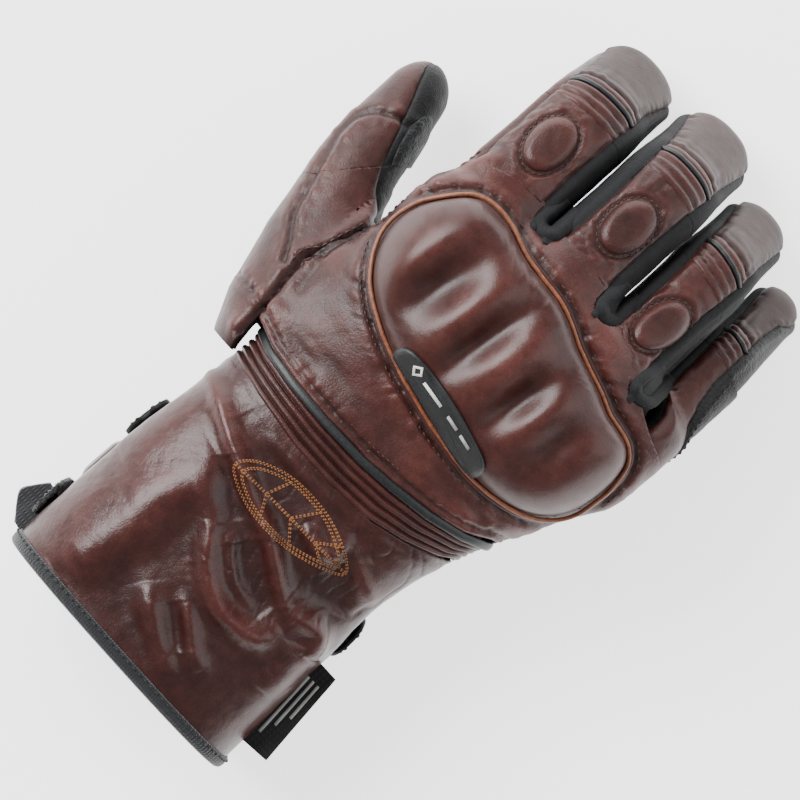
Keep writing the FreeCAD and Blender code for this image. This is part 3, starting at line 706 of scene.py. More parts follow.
def leather(name, deep, base, high, rough=0.42, grain=1.0, bump=0.35, cell=1150.0, coat=0.12, sheen=0.08, mottle=1.0):
    """Grained leather: pebble cells, fine pores, colour mottling, and colour from the fold attribute: painted shade in
    the creases, painted highlight with some rubbing on the ridges.
    """
    m, nt, b = nodes_of(name)
    tc = nt.nodes.new("ShaderNodeTexCoord")
    co = tc.outputs["Object"]
    big = n_(nt, "ShaderNodeTexNoise", Scale=38.0, Detail=5.0, Roughness=0.62)
    mid = n_(nt, "ShaderNodeTexNoise", Scale=230.0, Detail=4.0, Roughness=0.6)
    fine = n_(nt, "ShaderNodeTexNoise", Scale=2600.0, Detail=2.0, Roughness=0.5)
    warp = n_(nt, "ShaderNodeTexNoise", Scale=420.0, Detail=2.0)
    for x in (big, mid, fine, warp):
        nt.links.new(co, x.inputs["Vector"])
    vadd = nt.nodes.new("ShaderNodeVectorMath")
    vadd.operation = "MULTIPLY_ADD"
    nt.links.new(warp.outputs["Color"], vadd.inputs[0])
    vadd.inputs[1].default_value = (0.0012, 0.0012, 0.0012)
    nt.links.new(co, vadd.inputs[2])
    vor = n_(nt, "ShaderNodeTexVoronoi", Scale=cell, feature="DISTANCE_TO_EDGE")
    nt.links.new(vadd.outputs[0], vor.inputs["Vector"])
    vor2 = n_(nt, "ShaderNodeTexVoronoi", Scale=cell * 0.42, feature="DISTANCE_TO_EDGE")
    nt.links.new(vadd.outputs[0], vor2.inputs["Vector"])
    at = n_(nt, "ShaderNodeAttribute", attribute_name="fold")
    # colour
    c = ramp(nt, big.outputs["Fac"], [(0.30, deep), (0.52, base), (0.74, high)])
    c2 = ramp(nt, mid.outputs["Fac"], [(0.32, deep), (0.55, base), (0.8, high)])
    c = mixc(nt, 0.42 * mottle, c, c2)
    f = math_(nt, "MULTIPLY_ADD", at.outputs["Fac"], 0.5)
    nt.nodes[-1].inputs[2].default_value = 0.5
    # painted shade: creases darken to about a third; painted highlight: ridges lighten with a bluish tint, partly
    # rubbed leather; both read from the fold attribute
    rubbing_shade_and_highlight = ramp(nt, f, [(0.0, (0.36, 0.30, 0.30)), (0.40, (0.82, 0.80, 0.80)), (0.55, (1.0, 1.0, 1.0)), (0.85, (1.5, 1.56, 1.62)), (1.0, (1.9, 2.05, 2.15))])
    c = mixc(nt, 1.0, c, rubbing_shade_and_highlight, "MULTIPLY")
    pits = ramp(nt, vor.outputs["Distance"], [(0.0, (0.72, 0.70, 0.70)), (0.16, (1.0, 1.0, 1.0))])
    c = mixc(nt, 0.75, c, pits, "MULTIPLY")
    nt.links.new(c, b.inputs["Base Color"])
    # roughness
    r = math_(nt, "MULTIPLY_ADD", mid.outputs["Fac"], 0.22)
    nt.nodes[-1].inputs[2].default_value = rough - 0.11
    r2 = math_(nt, "MULTIPLY_ADD", at.outputs["Fac"], -0.05)
    nt.nodes[-1].inputs[2].default_value = 0.0
    nt.links.new(math_(nt, "ADD", r, r2, True), b.inputs["Roughness"])
    b.inputs["Specular IOR Level"].default_value = 0.36
    b.inputs["Coat Weight"].default_value = coat
    b.inputs["Coat Roughness"].default_value = 0.32
    b.inputs["Sheen Weight"].default_value = sheen
    b.inputs["Sheen Roughness"].default_value = 0.45
    # relief
    h1 = math_(nt, "MINIMUM", vor.outputs["Distance"], 0.22)
    h2 = math_(nt, "MINIMUM", vor2.outputs["Distance"], 0.3)
    h = math_(nt, "MULTIPLY_ADD", h1, 2.4 * grain)
    nt.nodes[-1].inputs[2].default_value = 0.0
    h = math_(nt, "ADD", h, math_(nt, "MULTIPLY", h2, 1.3 * grain))
    h = math_(nt, "ADD", h, math_(nt, "MULTIPLY", mid.outputs["Fac"], 0.9))
    h = math_(nt, "ADD", h, math_(nt, "MULTIPLY", fine.outputs["Fac"], 0.35))
    bp = n_(nt, "ShaderNodeBump", Strength=bump, Distance=0.0005)
    nt.links.new(h, bp.inputs["Height"])
    nt.links.new(bp.outputs["Normal"], b.inputs["Normal"])
    return m


def cloth(name, dark, light, scale=1500.0, rough=0.85, sheen=0.35, bump=0.5, rib=None):
    """Woven or ribbed textile from crossing waves."""
    m, nt, b = nodes_of(name)
    tc = nt.nodes.new("ShaderNodeTexCoord")
    co = tc.outputs["Object"]
    w1 = n_(nt, "ShaderNodeTexWave", Scale=scale / 6.3, Distortion=0.6, bands_direction="X")
    w2 = n_(nt, "ShaderNodeTexWave", Scale=(rib or scale) / 6.3, Distortion=0.6, bands_direction="Y")
    w3 = n_(nt, "ShaderNodeTexWave", Scale=scale / 6.3, Distortion=0.6, bands_direction="Z")
    no = n_(nt, "ShaderNodeTexNoise", Scale=900.0, Detail=3.0)
    bg = n_(nt, "ShaderNodeTexNoise", Scale=60.0, Detail=3.0)
    for x in (w1, w2, w3, no, bg):
        nt.links.new(co, x.inputs["Vector"])
    h = math_(nt, "MULTIPLY", w1.outputs["Fac"], w2.outputs["Fac"])
    h = math_(nt, "ADD", h, math_(nt, "MULTIPLY", w3.outputs["Fac"], 0.5))
    h = math_(nt, "ADD", h, math_(nt, "MULTIPLY", no.outputs["Fac"], 0.5))
    c = ramp(nt, h, [(0.25, dark), (1.0, light)])
    c = mixc(nt, 0.35, c, ramp(nt, bg.outputs["Fac"], [(0.3, dark), (0.8, light)]))
    nt.links.new(c, b.inputs["Base Color"])
    nt.links.new(math_(nt, "MULTIPLY_ADD", no.outputs["Fac"], 0.15), b.inputs["Roughness"])
    nt.nodes[-1].inputs[2].default_value = rough - 0.07
    b.inputs["Sheen Weight"].default_value = sheen
    b.inputs["Sheen Roughness"].default_value = 0.5
    bp = n_(nt, "ShaderNodeBump", Strength=bump, Distance=0.0003)
    nt.links.new(h, bp.inputs["Height"])
    nt.links.new(bp.outputs["Normal"], b.inputs["Normal"])
    return m


def plain(name, base, rough=0.5, vary=0.25, metallic=0.0, bump=0.15, scale=500.0, coat=0.0):
    m, nt, b = nodes_of(name)
    tc = nt.nodes.new("ShaderNodeTexCoord")
    no = n_(nt, "ShaderNodeTexNoise", Scale=scale, Detail=4.0)
    nt.links.new(tc.outputs["Object"], no.inputs["Vector"])
    lo, hi = [v * (1 - vary) for v in base], [min(1, v * (1 + vary)) for v in base]
    nt.links.new(ramp(nt, no.outputs["Fac"], [(0.3, lo), (0.7, hi)]), b.inputs["Base Color"])
    nt.links.new(math_(nt, "MULTIPLY_ADD", no.outputs["Fac"], 0.2), b.inputs["Roughness"])
    nt.nodes[-1].inputs[2].default_value = rough - 0.1
    b.inputs["Metallic"].default_value = metallic
    b.inputs["Coat Weight"].default_value = coat
    bp = n_(nt, "ShaderNodeBump", Strength=bump, Distance=0.0003)
    nt.links.new(no.outputs["Fac"], bp.inputs["Height"])
    nt.links.new(bp.outputs["Normal"], b.inputs["Normal"])
    return m


leather("brown", (0.022, 0.0040, 0.0030), (0.052, 0.0118, 0.0088), (0.088, 0.0260, 0.0200), rough=0.42, grain=0.5, bump=0.24, cell=900, coat=0.06, sheen=0.03)
leather("brown_cuff", (0.018, 0.0030, 0.0022), (0.042, 0.0082, 0.0060), (0.072, 0.0180, 0.0135), rough=0.35, grain=0.5, bump=0.2, cell=760, coat=0.12, sheen=0.02)
leather("brown_cap", (0.016, 0.0050, 0.0042), (0.032, 0.0108, 0.0090), (0.052, 0.0205, 0.0182), rough=0.56, grain=0.4, bump=0.2, cell=1300, sheen=0.0, coat=0.0)
leather("brown_guard", (0.024, 0.0042, 0.0032), (0.055, 0.0125, 0.0092), (0.080, 0.0235, 0.0180), rough=0.38, grain=0.35, bump=0.16, cell=900, coat=0.10, sheen=0.03)
leather("black", (0.0016, 0.0017, 0.0022), (0.0035, 0.0038, 0.0048), (0.008, 0.0088, 0.011), rough=0.6, grain=0.9, bump=0.3, cell=900, coat=0.0, sheen=0.0)
leather("black_patch", (0.0022, 0.0023, 0.0028), (0.0045, 0.0048, 0.0058), (0.011, 0.0118, 0.014), rough=0.6, grain=1.2, bump=0.5, cell=760, coat=0.0, sheen=0.0)
cloth("fourchette", (0.0012, 0.0013, 0.0018), (0.0042, 0.0047, 0.0062), scale=2600, sheen=0.0, bump=0.2)
cloth("textile", (0.0016, 0.0016, 0.002), (0.007, 0.0075, 0.009), scale=1300, bump=0.6, sheen=0.02)
cloth("lining", (0.006, 0.006, 0.008), (0.028, 0.029, 0.034), scale=900, sheen=0.6, bump=0.5)
cloth("binding", (0.0025, 0.003, 0.004), (0.009, 0.011, 0.0135), scale=2200, bump=0.5, sheen=0.3)
cloth("webbing", (0.004, 0.004, 0.005), (0.022, 0.023, 0.027), scale=2000, rib=900, bump=0.9)
plain("greypipe", (0.007, 0.0082, 0.009), rough=0.45, vary=0.3, scale=900)
plain("copper", (0.20, 0.062, 0.026), rough=0.45, vary=0.35, scale=700, bump=0.3)
plain("thread_brown", (0.050, 0.020, 0.016), rough=0.6, vary=0.3, scale=2000)
plain("thread_black", (0.008, 0.008, 0.010), rough=0.6, vary=0.3, scale=2000)
plain("thread_orange", (0.20, 0.075, 0.022), rough=0.6, vary=0.35, scale=2500)
plain("rubber", (0.010, 0.0105, 0.0115), rough=0.5, vary=0.3, scale=1500)
plain("print_white", (0.72, 0.72, 0.70), rough=0.6, vary=0.06, scale=800, bump=0.05)
plain("print_orange", (0.75, 0.20, 0.045), rough=0.55, vary=0.1, scale=800, bump=0.05)
plain("print_grey", (0.34, 0.34, 0.33), rough=0.6, vary=0.1, scale=800, bump=0.05)
plain("hooktape", (0.008, 0.008, 0.009), rough=0.75, vary=0.5, scale=3200, bump=0.9)

# ------------------------------------------------------------------ limbs
rad = math.radians
FING = {
    "index": dict(x=-24.2, M=(54.0, 58.6), a1=-14.0, L1=45.0, a2=-61.0, L2=48.6, w=(15.4, 15.0, 15.1, 14.2), h=(12.4, 12.4, 12.6, 11.0), web=66.5),
    "middle": dict(x=7.1, M=(57.0, 60.2), a1=-13.0, L1=45.0, a2=-62.0, L2=51.4, w=(14.7, 14.3, 14.6, 13.8), h=(12.6, 12.4, 12.8, 11.2), web=66.0),
    "ring": dict(x=34.4, M=(52.0, 57.0), a1=-15.0, L1=44.5, a2=-61.0, L2=45.6, w=(12.2, 12.0, 12.4, 11.6), h=(11.8, 11.6, 11.8, 10.4), web=62.0),
    "pinky": dict(x=56.3, M=(44.0, 50.0), a1=-19.0, L1=37.0, a2=-49.0, L2=43.0, w=(9.8, 9.9, 10.0, 9.2), h=(10.6, 10.2, 10.2, 9.0), web=55.0),
}
TUBES = {}
for k, f in FING.items():
    x = f["x"]
    M = A(x, *f["M"])
    P = M + A(0, math.cos(rad(f["a1"])), math.sin(rad(f["a1"]))) * f["L1"]
    E = P + A(0, math.cos(rad(f["a2"])), math.sin(rad(f["a2"]))) * f["L2"]
    S0 = M - A(0, math.cos(rad(11.0)), math.sin(rad(11.0))) * 12.0
    f["P"], f["E"], f["Mv"] = P, E, M
    r2 = f["h"][1] * 1.5
    total = 12 + f["L1"] + f["L2"]
    sP = 12 + f["L1"] - 2.0
    w = [(0, f["w"][0] - 0.4), (14, f["w"][0]), (sP - 12, f["w"][1]), (sP, f["w"][2]), (sP + 16, f["w"][3]), (total, f["w"][3] - 0.8)]
    hu = [(0, f["h"][0] - 0.6), (14, f["h"][0]), (sP - 12, f["h"][1]), (sP, f["h"][2]), (sP + 16, f["h"][3] + 0.2), (total, f["h"][3] - 0.2)]
    hd = [(0, f["h"][0] - 0.6), (14, f["h"][0]), (sP - 12, f["h"][1]), (sP, f["h"][1] - 0.6), (sP + 16, f["h"][3]), (total, f["h"][3] - 0.4)]
    TUBES[k] = Tube([S0, M, P, E], [26.0, r2], (0, 0, 1), w, hu, hd, None, 12.5)
TB, TJ, TE = A(-44.5, -6.0, 40.5), A(-61.4, 37.0, 30.0), A(-67.0, 76.5, 16.0)
THUMB = Tube([A(-37.0, -29.0, 42.0), TB, TJ, TE], [60.0, 60.0], (-0.46, 0.0, 0.89), [(0, 13.0), (20, 17.4), (45, 16.2), (66, 13.2), (84, 11.8), (98, 10.0), (112, 8.0)], [(0, 15), (20, 17.0), (45, 14.6), (66, 12.4), (92, 11.2), (112, 10.0)], [(0, 15), (20, 16.4), (45, 14.6), (66, 12.4), (92, 11.2), (112, 10.0)], None, 13.0, power=2.15)


def f_fingers(P):
    g = None
    for k, t in TUBES.items():
        v = t.implicit(P, 0.0)
        g = v if g is None else smin(g, v, 3.0)
    return g


def f_hand_only(P):
    return smin(f_main(P), f_fingers(P), 9.0)


def f_hand(P):
    return smin(f_hand_only(P), THUMB.implicit(P), 15.0)


print("tubes ready", {k: (round(t.L, 1), [round(v, 1) for v in t.knots]) for k, t in TUBES.items()}, round(THUMB.L, 1), THUMB.knots)

# ------------------------------------------------------------------ skin of the hand and the thumb
V0, F0 = surface_nets(f_hand, A(-84, -29, 4), A(72, 88, 84), 1.7)
V0 = project(f_hand, V0, 2)
V0, F0 = subdivide(V0, F0)
V0 = project(f_hand, V0, 2)
N0 = unit(gradient(f_hand, V0))
SKIN = BVHTree.FromPolygons([tuple(v) for v in V0], [tuple(map(int, f)) for f in F0])
print("skin", len(V0))


def drop(xy, top=True, lift=0.0):
    """Points and normals where vertical lines through xy meet the hand's skin."""
    P, N = [], []
    for x, y in np.asarray(xy, float):
        hit = SKIN.ray_cast(Vector((x, y, 130.0 if top else -40.0)), Vector((0, 0, -1.0 if top else 1.0)))
        if hit[0] is None:
            hit = SKIN.find_nearest(Vector((x, y, 60.0 if top else 20.0)))
        P.append(tuple(hit[0]))
        n = hit[1] if (hit[1].z > 0) == top else -hit[1]
        N.append(tuple(n))
    P, N = np.array(P), np.array(N)
    return P + N * lift, N


GUARD = catmull([(-32.7, 52.8), (-38.2, 44.1), (-40.0, 36.7), (-39.2, 29.5), (-36.0, 22.8), (-30.5, 16.9), (-22.8, 12.3), (-13.3, 8.4),
    (-2.9, 5.5), (10.4, 2.8), (19.7, 1.6), (28.5, 1.0), (37.2, 1.6), (44.8, 3.4), (51.0, 6.2), (56.0, 10.6),
    (59.2, 16.5), (60.4, 24.0), (60.2, 31.3), (58.4, 37.3), (54.8, 40.6), (49.8, 41.8), (44.4, 42.6), (38.4, 44.8),
    (31.5, 46.8), (24.1, 48.9), (17.0, 51.8), (10.0, 53.8), (3.3, 54.4), (-3.5, 54.8), (-9.5, 56.0), (-15.9, 57.8),
    (-22.2, 58.2), (-28.0, 56.9)], closed=True, step=1.0)

# the root seams of the fingers and the round ends of the webs, on the back of the hand
ROOT = catmull([(-52, 58.5), (-41, 62.5), (-33, 66.5), (-22, 70.5), (-12, 71.0), (-4, 69.0), (6, 69.5), (16, 68.5), (24, 66.0), (33, 61.5), (43, 56.5), (50, 51.5), (60, 47.0), (72, 44.0)], step=1.0)
WEBS = {"index_middle": (-8.6, 68.0), "middle_ring": (21.9, 64.6), "ring_pinky": (46.6, 56.2)}
RADIAL_SEAM = catmull(px((241, 332), (262, 307), (290, 272), (306, 255), (323, 252), (343, 241), (370, 225), (404, 195), (445, 171), (474, 158), (500, 146)), step=1.0)
PIPE = A(-60, -14.0, -46, -15.9, -36.5, -19, -23.8, -20.4, -9.6, -20.8, 6.3, -20.4, 17.6, -19, 30.4, -16.7, 41.2, -13.3, 49.1, -8.8, 60, -6).reshape(-1, 2)
RIBEND = A(-60, -26.5, -45, -27.5, -29.8, -30.4, -10.1, -32.6, 3.6, -32.7, 19.4, -31.5, 32.2, -27.6, 41.7, -23, 44.4, -20, 60, -18).reshape(-1, 2)
THUMB_CUT = catmull([(-46.0, -30.0), (-47.1, -21.8), (-48.4, -12.1), (-50.0, -2.0), (-51.0, 7.9), (-49.5, 15.0), (-49.6, 22.0)], step=1.0)


def root_gap(V):
    """Positive on the hand's side of the finger roots."""
    xy = V[:, :2]
    y = np.interp(V[:, 0], ROOT[:, 0], ROOT[:, 1])
    under = np.interp(V[:, 0], [-50, -24, 7, 34, 56, 70], [55.0, 56.0, 59.0, 53.0, 45.0, 41.0])
    zc = table(MAIN, np.minimum(V[:, 1], 60))[:, 0]
    t = smoothstep(-6, 4, V[:, 2] - zc)
    g = (under * (1 - t) + y * t) - V[:, 1]
    for x0, y0 in WEBS.values():
        d = np.hypot(V[:, 0] - x0, np.where(V[:, 1] > y0, 0, V[:, 1] - y0)) - 5.4
        g = -smin(-g, -d, 2.0) if False else np.minimum(g, np.where(V[:, 2] > zc - 4, d, 9))
    return g


def thumb_side(V):
    """Positive on the thumb's side of its root seam."""
    xy = V[:, :2]
    x = np.interp(V[:, 1], THUMB_CUT[:, 1], THUMB_CUT[:, 0])
    zc = table(MAIN, np.clip(V[:, 1], -30, 60))[:, 0]
    t = smoothstep(2, -12, V[:, 2] - zc)
    x = x + 9.0 * t * smoothstep(-20, 0, V[:, 1])
    left = x - V[:, 0]
    apart = f_hand_only(V) - THUMB.implicit(V)
    k = smoothstep(15, 25, V[:, 1])
    return left * (1 - k) + apart * k


seamline = lambda V, line: dist_line(V[:, :2], line)


def relief(V, N):
    """Displacement of the hand and thumb skin along its normals, and the fold value that shades it."""
    top = smoothstep(-0.05, 0.25, N[:, 2])
    d = np.zeros(len(V))
    d += 0.22 * fbm(V, 9.0, 3) + 0.10 * fbm(V, 3.2, 5, 2)
    # seam between the back and the thumb-side panel
    a, s, _ = seamline(V, RADIAL_SEAM)
    pk = noise(np.stack([s, s * 0, s * 0], 1), 2.6, 9)
    d += top * (-1.25 * gauss(a, 1.1) + (0.35 * pk) * gauss(a - 2.2, 2.4) + 0.35 * gauss(a - 2.6, 1.6))
    # groove and gathers round the guard
    g = -signed(V[:, :2], GUARD)
    ang = np.arctan2(V[:, 1] - 28, V[:, 0] - 10)
    gather = noise(np.stack([ang * 17, ang * 0, ang * 0], 1), 1.0, 21) * 0.6 + noise(np.stack([ang * 34, ang * 0, ang * 0], 1), 1.0, 22) * 0.4
    near = top * smoothstep(-1, 1.5, g)
    d += near * (-0.95 * gauss(g - 2.9, 0.9) + 0.55 * gather * gauss(g - 3.8, 3.2) + 0.4 * gauss(g - 5.2, 1.8))
    # knuckle swell beyond the guard, and soft folds near the wrist
    d += top * 0.9 * gauss(g - 9, 5) * (0.4 + 0.6 * noise(V, 14, 31))
    y = V[:, 1]
    d += top * smoothstep(8, -12, y) * (0.6 * noise(np.stack([V[:, 0] * 0.35 + y * 0.2, y, V[:, 2] * 0], 1), 4.2, 41))
    yy = y - np.interp(V[:, 0], PIPE[:, 0], PIPE[:, 1])
    pk = noise(np.stack([V[:, 0], 0 * y, 0 * y], 1), 1.5, 43)
    d += top * (-0.75 * gauss(yy - 3.6, 0.8) + 0.5 * gauss(yy - 2.2, 0.9) + 0.3 * pk * gauss(yy - 4.6, 1.6) + 0.3 * gauss(yy - 6.0, 1.8))
    # crotch creases between thumb and index
    ct = px((323, 252), (316, 268), (300, 290))
    a, s, _ = seamline(V, catmull(ct, step=1.0))
    d += top * -0.6 * gauss(a, 1.8)
    # oval panel seam on the thumb's back
    ov = catmull(px((284, 262), (290, 238), (294, 213), (306, 189), (323, 158), (337, 132), (358, 113), (378, 109), (400, 116), (410, 124)), step=1.0)
    a, s, _ = seamline(V, ov)
    pk = noise(np.stack([s, s * 0, s * 0], 1), 2.4, 11)
    d += top * (-0.95 * gauss(a, 0.95) + 0.3 * pk * gauss(a - 2, 2.2) + 0.28 * gauss(a - 2.4, 1.5))
    # heel creases of the palm
    low = smoothstep(0.1, -0.4, N[:, 2])
    for ln in ([(-30, 34), (-12, 30), (8, 32), (30, 40)], [(-28, 40), (-20, 20), (-14, 0), (-16, -14)], [(52, 30), (30, 24), (8, 26)]):
        a, s, _ = seamline(V, catmull(ln, step=1.5))
        d += low * -1.1 * gauss(a, 2.0)
    d += low * 0.35 * fbm(V, 7, 51)
    return d


D0 = relief(V0, N0)
g_root = root_gap(V0)
t_side = thumb_side(V0)
ang0 = main_angle(V0)
ang0 = np.where(ang0 < -90, ang0 + 360, ang0)


def edge_dip(val, depth=0.7, w=1.1):
    return -depth * np.exp(-np.maximum(val, 0) / w)


def skin_piece(name, fields, mat, thick=1.3, dips=(), grow=0.0):
    V, F, ex = V0, F0, {"d": D0, "n0": N0[:, 0], "n1": N0[:, 1], "n2": N0[:, 2]}
    for i, f in enumerate(fields):
        ex["f%d" % i] = f
    for i in range(len(fields)):
        V, F, ex = clip(V, F, ex["f%d" % i], ex)
    N = unit(np.stack([ex["n0"], ex["n1"], ex["n2"]], 1))
    d = ex["d"] + grow
    for i, (depth, w) in enumerate(dips):
        if depth:
            d = d + edge_dip(ex["f%d" % i], depth, w)
    # fold value from the displacement: the leather paints shade into the hollows and highlight onto the rises
    fold = np.clip(d * 0.9, -1, 1)
    part = Part()
    Vd = V + N * d[:, None]
    shell(Vd, F, N, thick, part, mat, fold)
    return part, V, N, ex


on_hand = -t_side
wrist_edge = V0[:, 1] - np.interp(V0[:, 0], PIPE[:, 0], PIPE[:, 1]) - 1.1
wrist_under = V0[:, 1] + 17.0
lo_back = np.interp(V0[:, 1], [-22, -14, 8, 22, 40, 50], [12, 8, 4, -12, -16, -10])
back_f = np.minimum(ang0 - lo_back, 196.0 - ang0) * 0.8
ulnar = 999
hand_back, VB_, NB_, exB = skin_piece("hand_back", [g_root, on_hand, wrist_edge, back_f], "brown", dips=((0, 1), (0.9, 1.2), (0.4, 1.2), (0.7, 1.2)))
palm_f = -back_f
hand_palm, *_ = skin_piece("hand_palm", [g_root, on_hand, wrist_under, palm_f], "black", dips=((0, 1), (0.9, 1.2), (0.5, 1.2), (0.7, 1.2)))

# thumb: local coordinates decide the brown back and the black inner side
ts, tu, tv = THUMB.local(V0)
tw, thu, thd, _ = THUMB.dims(ts)
tphi = np.degrees(np.arctan2(tv / np.where(tv > 0, thu, thd), tu / tw))
tphi = np.where(tphi < -90, tphi + 360, tphi)
lim = np.interp(ts, [30, 52, 66, 80, 96, 106, 112], [-28, -6, 22, 40, 58, 76, 95])
brown_t = np.minimum(tphi - lim, 232 - tphi) * 0.22
THUMB_O, THUMB_D = A(-50.0, 10.0, 35.0), A(-0.8, 0.6, 0.0)
tcut = (V0 - THUMB_O) @ THUMB_D - 24.5
wrist_t = V0[:, 1] + 27.5
th_back, VT_, NT_, exT = skin_piece("thumb_back", [t_side, wrist_t, brown_t, -tcut], "brown", dips=((0.9, 1.2), (0.5, 1.2), (0.7, 1.1), (0, 1)))
th_in, *_ = skin_piece("thumb_inner", [t_side, wrist_t, -brown_t, -tcut], "black", dips=((0.9, 1.2), (0.5, 1.2), (0.7, 1.1), (0, 1)))
tt_back, *_ = skin_piece("thumb_tip_back", [t_side, wrist_t, brown_t, tcut], "brown", dips=((0, 1), (0, 1), (0.7, 1.1), (0, 1)))
tt_in, *_ = skin_piece("thumb_tip_inner", [t_side, wrist_t, -brown_t, tcut], "black", dips=((0, 1), (0, 1), (0.7, 1.1), (0, 1)))


def on_top(line, lift=0.0, step=0.8, top=True):
    q = catmull(line, step=step) if len(line) < 40 else np.asarray(line)
    P, N = drop(q, top)
    k = np.ones(5) / 5
    Nn = np.stack([np.convolve(np.pad(N[:, i], 2, mode="edge"), k, "valid") for i in range(3)], 1)
    return P + unit(Nn) * lift, unit(Nn)


def offset_open(line, d):
    t = unit(np.gradient(line, axis=0))
    return line + np.stack([-t[:, 1], t[:, 0]], 1) * d


for dd in (-1.7, 1.5):
    P, N = on_top(offset_open(RADIAL_SEAM[26:-6], dd), 0.15)
    stitches(P, N, hand_back, "thread_brown", pitch=2.6, r=0.26, steepest=0.7)
gl = np.vstack([GUARD, GUARD[:1]])
gN = unit(np.gradient(gl, axis=0))
outer = gl + np.stack([gN[:, 1], -gN[:, 0]], 1) * (3.9 if signed(gl[:1] + np.stack([gN[:1, 1], -gN[:1, 0]], 1), GUARD)[0] < 0 else -3.9)
P, N = on_top(outer, -0.15)
stitches(P, N, hand_back, "thread_brown", pitch=2.5, r=0.26, steepest=0.7)

# ------------------------------------------------------------------ knuckle guard
gx, gy = GUARD[:, 0], GUARD[:, 1]
gc = A(11.0, 30.0)
nr, na = 56, len(GUARD)
rr = 1 - (1 - np.linspace(0, 1, nr)) ** 1.35
pts2 = gc + (GUARD[None] - gc) * rr[:, None, None]
flat = pts2.reshape(-1, 2)
edge = np.maximum(signed(flat, GUARD), 0)
base_P, base_N = drop(flat)


def guard_rise(xy, e):
    x, y = xy[:, 0], xy[:, 1]
    H = 8.6 + 1.6 * gauss(x - 8, 34) * gauss(y - 32, 22)
    prof = (1 - (1 - np.clip(e / 13.5, 0, 1)) ** 2.5) ** (1 / 2.1)
    z = 1.1 + H * prof
    # lengthwise valleys between the knuckle ridges; y runs along the fingers
    lean = (y - 30) * 0.10
    def valley(x0, w, y0, yw, amp):
        return -amp * gauss(x - x0 - lean, w) * gauss(y - y0, yw)
    z += valley(-17.0, 6.4, 31.0, 14.5, 5.6)
    z += valley(3.6, 4.6, 30.0, 16.0, 4.6)
    z += valley(24.0, 4.7, 26.0, 12.5, 4.6)
    z += valley(41.0, 5.0, 26.0, 11.0, 2.3)
    z += 1.5 * gauss(x + 27 - lean, 5.5) * gauss(y - 36, 13)
    z += 1.5 * gauss(x + 6 - lean, 5.0) * gauss(y - 34, 14)
    z += 1.5 * gauss(x - 14 - lean, 5.2) * gauss(y - 32, 14)
    z += 1.7 * gauss(x - 33 - lean, 5.2) * gauss(y - 26, 12)
    z += 1.0 * gauss(x - 50, 6.0) * gauss(y - 24, 10)
    return z


ang = np.arctan2(flat[:, 1] - gc[1], flat[:, 0] - gc[0])
pl = noise(np.stack([ang * 26, 0 * ang, 0 * ang], 1), 1.0, 61)
rise = guard_rise(flat, edge)
rise += 0.32 * pl * gauss(edge - 2.2, 2.4) * (0.5 + 0.9 * smoothstep(0, 30, flat[:, 1] - 20 - flat[:, 0] * 0.2))
rise += 0.10 * fbm(np.c_[flat, flat[:, :1] * 0], 6.0, 63) * smoothstep(1, 6, edge)
smooth_z = base_P[:, 2]
Pg = np.c_[flat, smooth_z + rise].reshape(nr, na, 3)
# keep the hand's own bumps out of the hard shell
from_main = lambda xy: None
q = table(MAIN, flat[:, 1])
xc, wv = (q[:, 1] + q[:, 2]) / 2, (q[:, 2] - q[:, 1]) / 2
rl = np.radians(q[:, 5])
zz = q[:, 0] + q[:, 3] * np.maximum(1 - np.abs(np.clip((flat[:, 0] - xc) / (wv + 1.0), -0.995, 0.995)) ** POWER, 0) ** (1 / POWER) - (flat[:, 0] - xc) * np.sin(rl)
kk = smoothstep(2.0, 9.0, edge)
Pg[..., 2] = ((1 - kk) * smooth_z + kk * np.maximum(zz, smooth_z - 0.4) + rise).reshape(nr, na)
Pg = np.concatenate([Pg, Pg[:, :1]], axis=1)
Ng = grid_normals(Pg)
Ng = np.where(Ng[..., 2:3] < 0, -Ng, Ng)
Ng[0] = A(0, 0, 1)
guard = Part()
# fold value for the guard's colour: painted shade in the valleys between the knuckle ridges and painted highlight on
# the ridges, faint near the rim
foldg = np.clip(0.55 * (rise - 8.5) / 3.0, -0.8, 0.8).reshape(nr, na)
foldg = np.where(edge.reshape(nr, na) < 6, foldg * 0.2, foldg)
foldg = np.concatenate([foldg, foldg[:, :1]], axis=1)
# a lip that turns down to the hand at the rim
lip = Pg[-1:] - np.array([0, 0, 1.6])
Pg2, Ng2 = np.concatenate([Pg, lip]), np.concatenate([Ng, Ng[-1:]])
slab(Pg2, Ng2, 0.9, guard, "brown_guard", np.concatenate([foldg, foldg[-1:]]))
GB = BVHTree.FromPolygons([tuple(v) for v in Pg.reshape(-1, 3)], [tuple(map(int, f)) for f in grid_faces(nr, na + 1)])


def on_guard(xy, lift=0.0):
    P, N = [], []
    for x, y in np.asarray(xy, float):
        h = GB.ray_cast(Vector((x, y, 140.0)), Vector((0, 0, -1.0)))
        if h[0] is None:
            p_, n_2 = drop([(x, y)])
            P.append(tuple(p_[0])), N.append(tuple(n_2[0]))
            continue
        n = h[1] if h[1].z > 0 else -h[1]
        P.append(tuple(h[0])), N.append(tuple(n))
    P, N = np.array(P), unit(np.array(N))
    return P + N * lift, N


